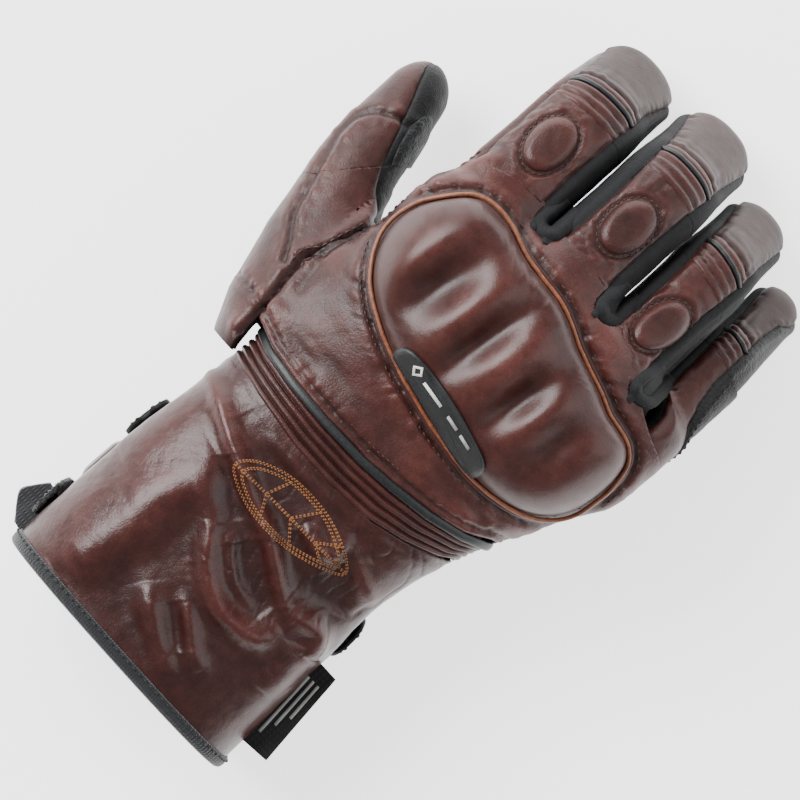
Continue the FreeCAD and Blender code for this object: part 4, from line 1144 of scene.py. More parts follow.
# copper piping round it
loop = GUARD + 0.0
P, N = drop(loop, lift=1.0)
for _ in range(3):
    P[:, 2] = (np.roll(P[:, 2], 1) + P[:, 2] + np.roll(P[:, 2], -1)) / 3
Nn = unit(N + A(0, 0, 0.6))
piping = Part()
tN = unit(np.roll(loop, -1, 0) - np.roll(loop, 1, 0))
outv = np.stack([tN[:, 1], -tN[:, 0], np.zeros(len(tN))], 1)
if signed(loop[:1] + outv[:1, :2], GUARD)[0] > 0:
    outv = -outv
wob = noise(np.stack([np.arange(len(loop)) * 1.0, np.zeros(len(loop)), np.zeros(len(loop))], 1), 5.0, 71)
P = P + outv * (0.55 + 0.12 * wob[:, None])
sweep(P, Nn, circle(0.68, 10), piping, "copper", closed=True)
P2, N2 = drop(loop + outv[:, :2] * 1.5, lift=0.05)
sweep(P2, N2, [(-0.9, 0), (-0.7, 0.3), (0.6, 0.3), (0.9, 0), (0.6, -0.3), (-0.7, -0.3)], piping, "brown", closed=True)

# badge: moulded rubber tab with generic printed marks
badge_c, badge_d = A(10.6, 8.0), unit(A(43.2, -5.8))
badge_n = A(-badge_d[1], badge_d[0])


def lens(L, Wd, n=72):
    t = np.linspace(0, 2 * np.pi, n, endpoint=False)
    x = np.sign(np.cos(t)) * np.abs(np.cos(t)) ** 0.85 * L / 2
    y = np.sin(t) * Wd / 2 * (1 - 0.34 * (np.abs(x) / (L / 2)) ** 2.2)
    bow = -0.0022 * (x**2 - (L / 2) ** 2)
    return x, y - 0.6 + bow * 0.9


bo = resample(catmull(px((395, 354), (401, 349), (409, 350), (417, 356), (428, 368), (441, 385), (455, 406), (468, 429), (478, 448), (483, 461), (482, 470), (476, 475), (468, 471), (450, 447), (431, 416), (412, 384), (399, 363)), closed=True, step=0.5), 0.5, closed=True)
bo = bo + (bo.mean(0) - bo) * 0.0
badge = Part()
rings = []
cen = bo.mean(0)
for k, up in ((0.0, 1.5), (0.5, 1.55), (0.84, 1.5), (0.90, 1.85), (0.955, 1.8), (1.0, 1.15), (1.0, -0.4)):
    q2 = cen + (bo - cen) * k
    P, N = on_guard(q2)
    zc_ = P[:, 2].copy()
    for _ in range(3):
        zc_ = (np.roll(zc_, 1) + zc_ + np.roll(zc_, -1)) / 3
    P[:, 2] = zc_
    rings.append(P + unit(N + A(0, 0, 1.2)) * up)
Rb = np.stack(rings)
Rb = np.concatenate([Rb, Rb[:, :1]], axis=1)
nb = grid_normals(Rb)
slab(Rb, np.where(nb[..., 2:3] < 0, -nb, nb), 0.35, badge, "rubber")


def plate(poly, up, th, mat, part, surf=on_guard, inner=None):
    """A thin printed or raised plate over a plan polygon."""
    poly = np.asarray(poly, float)
    n = len(poly)
    P, N = surf(poly)
    Nn = unit(N.mean(0) + A(0, 0, 0.8))
    top = P + Nn * (up + th)
    bot = P + Nn * (up - 0.3)
    if inner is not None:
        Pi, _ = surf(inner)
        ti, bi = Pi + Nn * (up + th), Pi + Nn * (up - 0.3)
        V = np.vstack([top, bot, ti, bi])
        F = []
        for i in range(n):
            j = (i + 1) % n
            F += [(i, j, 2 * n + j, 2 * n + i), (n + j, n + i, 3 * n + i, 3 * n + j), (j, i, n + i, n + j), (2 * n + i, 2 * n + j, 3 * n + j, 3 * n + i)]
        part.add(V, F, mat)
    else:
        V = np.vstack([top, bot])
        F = [tuple(range(n)), tuple(range(2 * n - 1, n - 1, -1))] + [((i + 1) % n, i, n + i, n + (i + 1) % n) for i in range(n)]
        part.add(V, F, mat)


def at_badge(x, y):
    return badge_c + badge_d * x + badge_n * (y - 0.6 - 0.002 * (x * x - 480) * 0.9)


dia = [(-2.1, 0), (0, 2.0), (2.1, 0), (0, -2.0)]
plate([at_badge(-13.5 + a_, b_ + 0.3) for a_, b_ in dia], 1.62, 0.12, "print_white", badge, inner=[at_badge(-13.5 + a_ * 0.55, b_ * 0.55 + 0.3) for a_, b_ in dia])
plate([at_badge(-9.6, -0.75), at_badge(-1.0, -0.75), at_badge(-1.0, 0.15), at_badge(-9.6, 0.15)], 1.62, 0.12, "print_white", badge)
for k in range(2):
    x0 = 2.4 + k * 6.6
    plate([at_badge(x0, -0.75), at_badge(x0 + 4.8, -0.75), at_badge(x0 + 4.8, 0.15), at_badge(x0, 0.15)], 1.62, 0.12, "print_grey", badge)
print("guard ready")

# ------------------------------------------------------------------ placing pieces
MADE = {}


def emit(part, name, body=None, bend=None, nodes=()):
    """Builds the piece and hides the model parts it replaces; without bend it is tied to its body, with bend its
    transform is applied and it stays unparented. bend is (body a, body b, start, end) in mm; only whether it is given
    is used.
    """
    ob = part.build(name)
    if bend:
        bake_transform(ob)
    else:
        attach(ob, body)
    if nodes:
        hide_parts(*nodes)
    MADE[name] = ob
    return ob


def main_point(y, th, grow=0.0):
    y, th = np.broadcast_arrays(np.asarray(y, float), np.asarray(th, float))
    fr = main_frames(y.ravel())
    t = np.radians(th).ravel()
    c, s = np.cos(t), np.sin(t)
    e = 2 / POWER
    g = np.broadcast_to(grow, y.shape).ravel()
    w = fr["w"] + g
    h = np.where(s >= 0, fr["hu"], fr["hd"]) + g
    x, z = np.sign(c) * np.abs(c) ** e * w, np.sign(s) * np.abs(s) ** e * h
    return (fr["C"] + fr["X"] * x[:, None] + fr["N"] * z[:, None]).reshape(y.shape + (3,))


def even_angles(a, b, n, y=-60.0):
    """Angles from a to b that are evenly spaced along the section's outline."""
    th = np.linspace(a, b, 721)
    p = main_point(np.full(721, y), th)
    d = np.r_[0, np.cumsum(np.linalg.norm(np.diff(p, axis=0), axis=1))]
    return np.interp(np.linspace(0, d[-1], n), d, th)


def outward(P, C):
    """Grid normals turned away from the axis points C."""
    n = grid_normals(P)
    s = np.sign(((P - C) * n).sum(-1, keepdims=True))
    return n * np.where(s == 0, 1, s)


# ------------------------------------------------------------------ fingers
PLEAT = {"index": (98.5, 107.6, -0.10), "middle": (102.0, 111.2, 0.03), "ring": (91.5, 101.2, 0.20), "pinky": (79.5, 88.0, 0.28)}
PADS = {"index": (-26.6, 84.0, 9.6, 6.9, 4.0), "middle": (7.2, 84.6, 9.8, 7.0, -2.0), "ring": (35.6, 72.6, 9.4, 6.4, -10.0)}
BAND = {  # width of the dark side band seen from above, on the little-finger side and the thumb side, along y
    "index": ([60, 80, 100, 112, 120, 125], [5.6, 6.0, 5.4, 4.0, 2.0, 0.8], None),
    "middle": ([60, 80, 100, 112, 121, 127], [5.4, 5.6, 5.0, 3.8, 2.0, 0.8], [4.4, 4.6, 4.4, 3.6, 2.0, 0.8]),
    "ring": ([54, 70, 90, 106, 116, 122], [4.6, 4.6, 4.0, 3.2, 1.6, 0.6], [4.4, 4.6, 4.2, 3.2, 1.6, 0.6]),
    "pinky": ([44, 60, 75, 95, 104, 110], None, [4.0, 4.2, 3.6, 2.6, 1.4, 0.6]),
}


def top_line(t, s):
    fr = t.frames(s)
    return fr["C"] + fr["N"] * fr["hu"][:, None]


def s_at(t, y):
    s = np.linspace(20, t.L - 10, 500)
    return float(np.interp(y, top_line(t, s)[:, 1], s))


PUFF = {"index": (0.90, 0.0), "middle": (0.22, 0.80), "ring": (0.08, 0.22), "pinky": (0.0, 0.05)}
finger_parts = {}
for key, t in TUBES.items():
    f = FING[key]
    yp0, yp1, slant = PLEAT[key]
    sc, sp = s_at(t, yp0), s_at(t, yp1)
    s_all = np.concatenate([np.arange(8.0, sc + 6, 0.72), [sc + 6]])
    s_tip = np.concatenate([np.arange(sc - 6, t.L - 12.5, 0.5), t.L - 12.5 * (1 - np.sin(np.linspace(0, np.pi / 2, 30)))])
    ss = np.linspace(0, t.L, 900)
    tl = top_line(t, ss)
    top_s = np.r_[0, np.cumsum(np.linalg.norm(np.diff(tl, axis=0), axis=1))]
    q_of = lambda s: np.interp(s, ss, top_s)
    qc, qp = q_of(sc), q_of(sp)

    def bounds_of(s, t=t, key=key):
        """Angles where the brown back meets the side walls."""
        fr = t.frames(s)
        y = (fr["C"] + fr["N"] * fr["hu"][:, None] * 0.8)[:, 1]
        tab, right, left = BAND[key]
        w = np.interp(s, t.tab["w"][:, 0], t.tab["w"][:, 1])
        ang_of = lambda e: np.degrees(np.arccos(np.clip((w - e) / w, 0.0, 1.0) ** (t.power / 2)))
        if right is not None:
            r_ = ang_of(np.interp(y, tab, right))
        else:
            r_ = np.interp(y, [40, 47, 53, 58, 66, 74, 92, 100, 104, 110], [-22, -8, 14, 42, 66, 76, 76, 66, 40, 20])
        l_ = 180 - ang_of(np.interp(y, tab, left)) if left is not None else np.interp(y, [60, 72, 90, 106, 116, 124], [150, 156, 158, 152, 160, 172])
        return r_, l_

    def surface(s, th, t=t, key=key, root=False):
        fr = t.frames(s)
        TH = np.broadcast_to(th, (len(s), len(th)))
        P = section(fr, TH, t.power)
        C = np.broadcast_to(fr["C"][:, None], P.shape)
        shp = P.shape
        if root:
            fun = lambda Q: smin(f_main(Q), t.implicit(Q, 0.0), 9.0)
            Q = P.reshape(-1, 3)
            near = np.repeat(s < 46, len(th))
            Q2 = project(fun, Q[near], 3)
            k = smoothstep(46, 36, np.repeat(s, len(th)))[near][:, None]
            Q = Q.copy()
            Q[near] = Q[near] * (1 - k) + Q2 * k
            P = Q.reshape(shp)
        N = outward(P, C)
        if not root:
            N[-1] = fr["T"][-1]
        return P, N, TH, fr

    def finger_fields(P, N, TH, s, fr, t=t, key=key, qc=qc, qp=qp, slant=slant, f=f):
        n, m = TH.shape
        r_, l_ = bounds_of(s)
        mm = 0.0175 * 13.2 * np.clip(fr["w"] / fr["w"].max(), 0.25, 1)[:, None]
        fb = np.minimum(TH - r_[:, None], l_[:, None] - TH) * mm
        fp = np.maximum(-52 - TH, TH - 232) * mm
        q = np.interp(s, ss, top_s)[:, None] - qp + slant * (P[..., 0] - f["x"])
        return fb, fp, q

    def base_noise(Q, key=key):
        return 0.22 * fbm(Q, 9.0, 3) + 0.10 * fbm(Q, 3.2, 5, 2)

    th = np.linspace(-90, 270, 133)
    store = {}
    for which, s in (("root", s_all), ("tip", s_tip)):
        P, N, TH, fr = surface(s, th, root=which == "root")
        fb, fp, q = finger_fields(P, N, TH, s, fr)
        shp = q.shape
        Q, NQ = P.reshape(-1, 3), N.reshape(-1, 3)
        fbv, qv, thv = fb.ravel(), q.ravel(), TH.ravel()
        on_back = smoothstep(-0.2, 1.2, fbv)
        if which == "root":
            yv = Q[:, 1]
            kroot = smoothstep(0, 10, -root_gap(Q))
            d = relief(Q, NQ) * (1 - kroot) + base_noise(Q) * kroot
            # crackled leather round the pad, and the stitched groove
            if key in PADS:
                px_, py_, pa, pb, tilt = PADS[key]
                ca, sa = math.cos(rad(tilt)), math.sin(rad(tilt))
                dx, dy = Q[:, 0] - px_, Q[:, 1] - py_
                u_, v_ = dx * ca + dy * sa, -dx * sa + dy * ca
                re = np.hypot(u_ / pb, v_ / pa)
                far = (re - 1) * 8.0
                d += on_back * (-0.75 * gauss(far - 0.7, 0.8) + 0.35 * gauss(far - 2.4, 1.2) * (0.6 + 0.7 * noise(Q, 2.0, 81)) + 0.30 * noise(Q, 1.7, 82) * gauss(far - 3.2, 2.6))
                d += on_back * 0.30 * noise(Q * A(1, 0.45, 1), 2.4, 83) * smoothstep(1.0, 4.0, far) * smoothstep(-0.5, 4, yv - (ROOT[:, 1].mean()))
                d -= 1.6 * smoothstep(1.0, 0.8, re) * on_back
            # soft creases leading into the webs
            for x0, y0 in WEBS.values():
                dw = np.hypot(Q[:, 0] - x0, Q[:, 1] - y0)
                aw = np.arctan2(Q[:, 1] - y0, Q[:, 0] - x0)
                d += on_back * 0.35 * noise(np.stack([aw * 9, dw * 0.1, dw * 0], 1), 1.0, 84) * gauss(dw - 7.5, 3.0)
        else:
            d = base_noise(Q) * smoothstep(6, 0, qv + 8) + 0.10 * fbm(Q, 6.0, 91) * smoothstep(0, 6, qv)
            span = qp - qc
            pitch_ = span / 3.25
            u_ = (qv + span) / pitch_
            rib = np.abs(np.sin(np.pi * np.clip(u_, 0, 3.0))) ** 0.65
            inrib = smoothstep(-0.3, 0.05, u_) * smoothstep(3.12, 2.95, u_)
            d += on_back * inrib * (1.15 * rib - 0.85)
            d += on_back * (-0.75 * gauss(qv + 0.2, 1.05) + 0.25 * gauss(qv - 2.4, 1.3) - 0.60 * gauss(qv - 4.4, 0.6) + 0.25 * gauss(qv - 6.4, 1.8) - 0.16 * gauss(qv - 9.0, 1.4))
            d += on_back * 0.35 * noise(np.stack([thv * 0.12, qv * 0.12, 0 * qv], 1), 1.0, 92) * gauss(qv - 8, 6)
        # the side walls puff out until neighbours touch
        pr, pl_ = PUFF[key]
        d += pr * gauss(thv, 46) + pl_ * gauss(thv - 180, 46)
        if which == "root":
            d -= 0.12 * smoothstep(0.5, -0.7, -root_gap(Q)) + 0.22 * smoothstep(-0.1, 0.6, qv - (qc - qp))
        # a tucked seam where brown meets black
        d += np.where(fbv > 0, -0.85 * np.exp(-np.maximum(fbv, 0) / 0.9), -0.95 * np.exp(-np.maximum(-fbv, 0) / 0.8) + 0.55 * gauss(-fbv - 2.8, 1.8))
        sN = np.repeat(s, len(th))
        pk = noise(np.stack([sN, np.sign(thv - 90) * 40, 0 * sN], 1), 1.9, 93)
        d += 0.28 * pk * gauss(fbv - 1.7, 1.6) * (fbv > 0)
        # fold value from the displacement: the leather paints shade into the grooves and highlight onto the ridges
        fold = np.clip(d * 0.8, -1, 1)
        store[which] = (Q + NQ * d[:, None], NQ, d, fold, fbv, fp.ravel(), qv, shp, Q)
    store["bed"] = BVHTree.FromPolygons([tuple(v_) for v_ in store["root"][8]], [tuple(map(int, x_)) for x_ in grid_faces(*store["root"][7])])
    finger_parts[key] = (store, sc, sp, t, qc - qp)

ulnar_black = {"pinky"}
finger_bvh = {}
for key, (store, sc, sp, t, q0) in finger_parts.items():
    f = FING[key]
    right_mat = "black_patch" if key == "pinky" else "fourchette"
    left_mat = "brown" if key == "index" else "fourchette"
    yr = float(np.interp(f["x"], ROOT[:, 0], ROOT[:, 1]))
    bend_root = ("hand", key + "_base", (f["x"], yr - 3.0, 55.0), (f["x"], yr + (20.0 if key != "pinky" else 16.0), 50.0))
    cA, cB = t.frames(np.array([sc + 0.5]))["C"][0], t.frames(np.array([sp + 1.0]))["C"][0]
    bend_tip = (key + "_base", key + "_tip", cA, cB)
    bag = {}

    def cut(which, fields, mat, part, thick=1.1, keepV=False):
        Vd, Nn_, d, fold, fb, fp, q, shp, Q0 = store[which]
        F = grid_faces(*shp)
        ex = {"a": Nn_[:, 0], "b": Nn_[:, 1], "c": Nn_[:, 2], "fold": fold}
        for i, ff in enumerate(fields):
            ex["f%d" % i] = ff
        a_, b_, c_ = Vd[F[:, 0]], Vd[F[:, 1]], Vd[F[:, 2]]
        good = (np.cross(b_ - a_, c_ - a_) * Nn_[F[:, 0]]).sum(1).mean() > 0
        F = F if good else F[:, ::-1]
        V, ex_ = Vd, ex
        for i in range(len(fields)):
            V, F, ex_ = clip(V, F, ex_["f%d" % i], ex_)
        N = unit(np.stack([ex_["a"], ex_["b"], ex_["c"]], 1))
        shell(V, F, N, thick, part, mat, ex_["fold"])
        return V, F, N

    st = store["root"]
    Vd, Nn_, d, fold, fb, fp, q, shp, Q0 = st
    beyond = -root_gap(Q0) + 1.1
    before = q0 - q + 0.7
    side_r = (np.tile(np.linspace(-90, 270, shp[1]), shp[0]) - 90.0)
    back = Part()
    Vb, Fb, Nb = cut("root", [beyond, fb, before], "brown", back)
    finger_bvh[key] = BVHTree.FromPolygons([tuple(v) for v in Vb], [tuple(map(int, x)) for x in Fb])
    walls = Part()
    cut("root", [beyond, -fb, -fp, before, -side_r], right_mat, walls)
    cut("root", [beyond, -fb, -fp, before, side_r], left_mat, walls)
    palm = Part()
    cut("root", [beyond, fp, before], "black", palm)
    # tips
    Vd, Nn_, d, fold, fb, fp, q, shp, Q0 = store["tip"]
    after = q - q0
    side_r = (np.tile(np.linspace(-90, 270, shp[1]), shp[0]) - 90.0)
    acc = Part()
    cut("tip", [after, fb, 1.4 - q], "brown", acc)
    tip = Part()
    cut("tip", [fb, q - 1.4, 4.5 - q], "brown", tip)
    cut("tip", [fb, q - 4.5], "brown_cap", tip)
    tw_ = Part()
    cut("tip", [after, -fb, -fp, -side_r], right_mat, tw_)
    cut("tip", [after, -fb, -fp, side_r], left_mat, tw_)
    tp_ = Part()
    cut("tip", [after, fp], "black", tp_)
    # grey piping across the pleats
    r_, l_ = 40, 140
    thp = np.linspace(28, 158, 60)
    line, nor, rad_ = [], [], []
    Vg = Vd.reshape(shp + (3,))
    Ng_ = Nn_.reshape(shp + (3,))
    qg, fg = q.reshape(shp), fb.reshape(shp)
    for j in range(shp[1]):
        col = qg[:, j]
        i = np.searchsorted(col, 0.0)
        if 0 < i < shp[0] and fg[i, j] > -0.6:
            w_ = (0 - col[i - 1]) / (col[i] - col[i - 1])
            line.append(Vg[i - 1, j] * (1 - w_) + Vg[i, j] * w_)
            nor.append(Ng_[i, j])
            rad_.append(min(1.0, 0.35 + max(fg[i, j] + 0.6, 0) * 0.5))
    line, nor = np.array(line), unit(np.array(nor))
    sweep(line + nor * 0.42, nor, circle(0.85, 10, 0.85), acc, "greypipe", scale=np.array(rad_))
    emit(back, key + "_back", bend=bend_root, nodes=(key + "_back",))
    emit(walls, key + "_fourchettes", bend=bend_root, nodes=(key + "_fourchettes",))
    emit(palm, key + "_palm", bend=bend_root, nodes=(key + "_palm",))
    emit(acc, key + "_pleats", bend=bend_tip, nodes=(key + "_accordion",))
    emit(tip, key + "_tip_back", bend=bend_tip, nodes=(key + "_tip_back",))
    emit(tw_, key + "_tip_fourchettes", bend=bend_tip, nodes=(key + "_tip_fourchettes",))
    emit(tp_, key + "_tip_palm", bend=bend_tip, nodes=(key + "_tip_palm",))
    # padded oval and its stitching
    if key in PADS:
        px_, py_, pa, pb, tilt = PADS[key]
        ca, sa = math.cos(rad(tilt)), math.sin(rad(tilt))
        nr_, na_ = 22, 96
        rr_ = np.linspace(0, 1, nr_) ** 0.8
        an = np.linspace(0, 2 * np.pi, na_ + 1)
        U_, V_ = rr_[:, None] * np.cos(an) * pb, rr_[:, None] * np.sin(an) * pa * (1 + 0.04 * np.cos(an) ** 2)
        X_, Y_ = px_ + U_ * ca - V_ * sa, py_ + U_ * sa + V_ * ca
        bv = finger_bvh[key]
        bed = np.zeros_like(X_)
        for i_ in range(nr_):
            for j_ in range(na_ + 1):
                h = store["bed"].ray_cast(Vector((X_[i_, j_], Y_[i_, j_], 130)), Vector((0, 0, -1)))
                bed[i_, j_] = h[0].z if h[0] else 55.0
        R_ = rr_[:, None] + 0 * an
        hgt = 2.7 * (1 - R_**3.2) ** 0.55 - 0.55 * gauss(R_, 0.52) + 0.18 * gauss(R_ - 0.72, 0.16)
        rows = np.stack([X_, Y_, bed + hgt - 0.35], -1)
        rows[..., 2] += 0.10 * fbm(rows.reshape(-1, 3), 4.0, 101).reshape(rows.shape[:2]) * (1 - R_**6)
        nn = grid_normals(rows)
        nn = np.where(nn[..., 2:3] < 0, -nn, nn)
        nn[0] = A(0, 0, 1)
        padp = Part()
        # fold value: painted shade in the pad's central dip and painted highlight on its raised ring
        slab(rows, nn, 1.0, padp, "brown", np.clip(0.35 * gauss(R_ - 0.78, 0.2) - 0.45 * gauss(R_, 0.55), -1, 1))
        emit(padp, key + "_knuckle_pad", bend=bend_root, nodes=(key + "_knuckle_pad",))
        an2 = np.linspace(0, 2 * np.pi, 140)
        gx_, gy_ = 1.10 * np.cos(an2) * pb, 1.08 * np.sin(an2) * pa
        ring2 = np.stack([px_ + gx_ * ca - gy_ * sa, py_ + gx_ * sa + gy_ * ca], 1)
        pts, nrs = [], []
        for x, y in ring2:
            h = bv.ray_cast(Vector((x, y, 130)), Vector((0, 0, -1)))
            if h[0] is None:
                h = bv.find_nearest(Vector((x, y, 55)))
            pts.append(tuple(h[0]))
            n = h[1] if h[1].z > 0 else -h[1]
            nrs.append(tuple(n))
        st_ = Part()
        stitches(np.array(pts), unit(np.array(nrs)), st_, "thread_brown", pitch=2.1, r=0.24, lift=0.05)
        emit(st_, key + "_pad_stitching", bend=bend_root)
print("fingers ready")

print("hand edge", [(round(float(a_), 1), round(float(VB_[np.abs(VB_[:, 0] - a_) < 2][:, 1].min()), 2)) for a_ in (-30, -10, 10, 30)])
# ------------------------------------------------------------------ hand and thumb pieces
bend_thumb = ("hand", "thumb_base", THUMB_O + THUMB_D * 6.0, THUMB_O + THUMB_D * 24.0)
bend_thumb_tip = ("thumb_base", "thumb_tip", THUMB_O + THUMB_D * 24.5, THUMB_O + THUMB_D * 40.0)
emit(hand_back, "hand_back", "hand", nodes=("hand_back_panel", "thumb_saddle"))
emit(hand_palm, "hand_palm", "hand", nodes=("hand_palm_panel",))
emit(th_back, "thumb_back_root", bend=bend_thumb, nodes=("thumb_back",))
emit(th_in, "thumb_inner_root", bend=bend_thumb, nodes=("thumb_inner",))
emit(tt_back, "thumb_tip_cover", bend=bend_thumb_tip, nodes=("thumb_tip_back",))
emit(tt_in, "thumb_tip_inside", bend=bend_thumb_tip, nodes=("thumb_tip_inner",))

grip_f = (1 - np.hypot((ts - 82.0) / 15.5, (tphi - (lim - 52.0)) / 42.0)) * 11.0
grip, *_ = skin_piece("grip", [t_side, tcut, grip_f], "black_patch", thick=1.0, dips=((0, 1), (0, 1), (0.75, 1.0)), grow=0.95)
emit(grip, "thumb_grip_patch", bend=bend_thumb_tip, nodes=("thumb_grip_pad",))

heel = catmull([(-30, -12), (-38, 2), (-36, 16), (-24, 26), (-8, 24), (2, 10), (0, -6), (-12, -13)], closed=True, step=1.5)
edge_p = catmull([(30, -12), (40, -12), (58, 10), (62, 30), (60, 42), (46, 40), (34, 22), (28, 4)], closed=True, step=1.5)
knuck = catmull([(-34, 40), (-20, 38), (10, 41), (36, 36), (54, 30), (56, 40), (40, 46), (12, 52), (-18, 50), (-34, 48)], closed=True, step=1.5)
under_side = -N0[:, 2] * 8 - 1.0
patches = Part()
for poly in (heel, edge_p, knuck):
    q_, *_ = skin_piece("patch", [signed(V0[:, :2], poly), under_side, on_hand + 3.0, wrist_under], "black_patch", thick=1.0, dips=((0.7, 1.0), (0, 1), (0, 1), (0, 1)), grow=0.95)
    patches.add(np.vstack(q_.V), q_.F, "black_patch", np.concatenate(q_.fold))
    lp = np.vstack([poly, poly[:1]])
    cen_ = poly.mean(0)
    lp = cen_ + (lp - cen_) * 0.93
    P, N = drop(lp, top=False, lift=0.95)
    okp = N[:, 2] < -0.15
    if okp.all():
        stitches(P, N, patches, "thread_black", pitch=2.6, r=0.28)
emit(patches, "palm_reinforcement", "hand", nodes=("palm_patches",))

emit(guard, "knuckle_guard", "hand", nodes=("knuckle_guard_cover",))
emit(piping, "guard_edge_piping", "hand", nodes=("guard_piping",))
emit(badge, "guard_tab", "hand", nodes=("guard_badge",))

# foam liner under the guard, and the hand's inner lining
foam = Part()
fr_ = rr[::4][:, None, None]
q2 = gc + (GUARD[None] - gc) * 0.90 * fr_
P, N = drop(q2.reshape(-1, 2))
e2 = np.maximum(signed(q2.reshape(-1, 2), GUARD), 0)
P[:, 2] += 0.4 + (guard_rise(q2.reshape(-1, 2), e2) - 3.0) * smoothstep(3, 10, e2)
P = P.reshape(len(rr[::4]), len(GUARD), 3)
P = np.concatenate([P, P[:, :1]], axis=1)
nf = grid_normals(P)
nf = np.where(nf[..., 2:3] < 0, -nf, nf)
slab(P, nf, 1.2, foam, "lining")
emit(foam, "knuckle_guard_liner", "hand", nodes=("knuckle_guard_foam",))


def tube_sheet(y0, y1, a, b, grow, part, mat, thick, ny=40, nt=120, dis=None):
    yv = np.linspace(y0, y1, ny)[:, None]
    tv_ = even_angles(a, b, nt)[None, :]
    P = main_point(yv + 0 * tv_, tv_ + 0 * yv, grow)
    C = main_frames(yv[:, 0])["C"][:, None, :]
    N = outward(P, C)
    d = dis(P, N) if dis else 0 * P[..., 0]
    P = P + N * d[..., None]
    slab(P, outward(P, C), thick, part, mat, np.clip(d, -1, 1))
    return P


lin = Part()
soft = lambda P, N: 0.35 * fbm(P.reshape(-1, 3), 7.0, 111).reshape(P.shape[:2])
tube_sheet(-17.0, 44.0, -90, 270, -3.2, lin, "lining", 0.9, dis=soft)
emit(lin, "hand_inner_lining", "hand", nodes=("hand_lining",))
lin2 = Part()
tube_sheet(-112.4, -33.0, -90, 270, -4.5, lin2, "lining", 0.9, ny=70, dis=soft)
emit(lin2, "cuff_inner_lining", "cuff", nodes=("cuff_lining",))

# ------------------------------------------------------------------ wrist: ribs, flat piping, gusset
bend_wrist = ("hand", "cuff", A(0, -20.5, 43.6), A(0, -32.0, 43.6))
nt, nv = 170, 88
thw = even_angles(2.0, 178.0, nt, y=-25.0)
xw = main_point(np.full(nt, -25.0), thw)[:, 0]
y1, y2 = np.interp(xw, PIPE[:, 0], PIPE[:, 1]) + 1.6, np.interp(xw, RIBEND[:, 0], RIBEND[:, 1]) - 0.8
v = np.linspace(0, 1, nv)[:, None]
Yw = y1[None] * (1 - v) + y2[None] * v
THw = np.broadcast_to(thw, Yw.shape)
P = main_point(Yw, THw)
C = np.stack([0 * Yw + 1.0, Yw, 0 * Yw + 43.0], -1)
N = outward(P, C)
span = y1 - y2
vr = np.clip((v - 0.19) / 0.75, 0, 1)
ribs_ = 4.0 * vr
wave = np.abs(np.sin(np.pi * ribs_)) ** 0.55
dw = (1.55 * wave - 1.15) * smoothstep(0.17, 0.2, v) * smoothstep(0.97, 0.94, v)
dw = dw + 0.12 * noise(P.reshape(-1, 3) * A(0.3, 1, 1), 2.5, 121).reshape(Yw.shape)
dw = dw - 0.9 * smoothstep(0.94, 1.0, v) - 0.35 * smoothstep(0.03, 0.0, v)
taper = smoothstep(0.0, 0.12, np.linspace(0, 1, nt))[None] * 0.6 + 0.4
dw = dw * taper
Pw = P + N * dw[..., None]
ribp = Part()
# fold value: full painted shade in the grooves between ribs, a weaker painted highlight on the ribs
slab(Pw, N, 1.1, ribp, "brown", np.clip(np.where(dw < -0.15, dw * 1.0, dw * 0.45), -1, 1))
emit(ribp, "wrist_ribs", bend=bend_wrist, nodes=("wrist_accordion",))
pip = Part()
thp = even_angles(1.0, 179.0, 200, y=-18.0)
xp = main_point(np.full(200, -18.0), thp)[:, 0]
yp = np.interp(xp, PIPE[:, 0], PIPE[:, 1])
Pp = main_point(yp, thp, 0.35)
Cp = np.stack([0 * yp + 1.0, yp, 0 * yp + 43.0], -1)
Np = unit((Pp - Cp) * A(0.35, 0, 1))
kk = np.ones(9) / 9
for i in range(3):
    Np[:, i] = np.convolve(np.pad(Np[:, i], 4, mode="edge"), kk, "valid")
prof = [(-1.45, -0.5), (-1.5, 0.1), (-1.15, 0.55), (-0.4, 0.72), (0.4, 0.72), (1.15, 0.55), (1.5, 0.1), (1.45, -0.5)]
sweep(Pp, Np, prof, pip, "greypipe")
emit(pip, "wrist_flat_piping", "hand", nodes=("wrist_piping",))

gus = Part()
thg = even_angles(176.0, 364.0, 150, y=-25.0)
ygv = np.linspace(0, 1, 34)[:, None]
top_g = np.interp(thg, [176, 200, 300, 340, 350, 364], [-15.0, -15.5, -15.5, -13.5, -11, -9.5])
bot_g = np.interp(thg, [176, 200, 330, 345, 354, 364], [-31.5, -34, -34, -36.5, -38.5, -38.0])
Yg = top_g[None] * (1 - ygv) + bot_g[None] * ygv
P = main_point(Yg, np.broadcast_to(thg, Yg.shape), -0.5)
C = np.stack([0 * Yg + 1.0, Yg, 0 * Yg + 43.0], -1)
N = outward(P, C)
dg = 0.75 * np.sin(Yg * 2.2 + 1.4 * noise(P.reshape(-1, 3), 9.0, 131).reshape(Yg.shape)) + 0.5 * fbm(P.reshape(-1, 3), 5.0, 132).reshape(Yg.shape) - 0.6
P = P + N * dg[..., None]
slab(P, N, 1.0, gus, "textile", np.clip(dg, -1, 1))
emit(gus, "wrist_stretch_gusset", bend=bend_wrist, nodes=("wrist_gusset",))
stw = Part()
for off, r0 in ((5.3, 0.22),):
    m = (xw > -44) & (xw < 44)
    P, N = drop(np.stack([xw[m], np.interp(xw[m], PIPE[:, 0], PIPE[:, 1]) + off], 1), lift=0.05)
    stitches(P, N, stw, "thread_brown", pitch=1.9, gap=0.6, r=r0)
emit(stw, "wrist_seam_stitching", "hand")

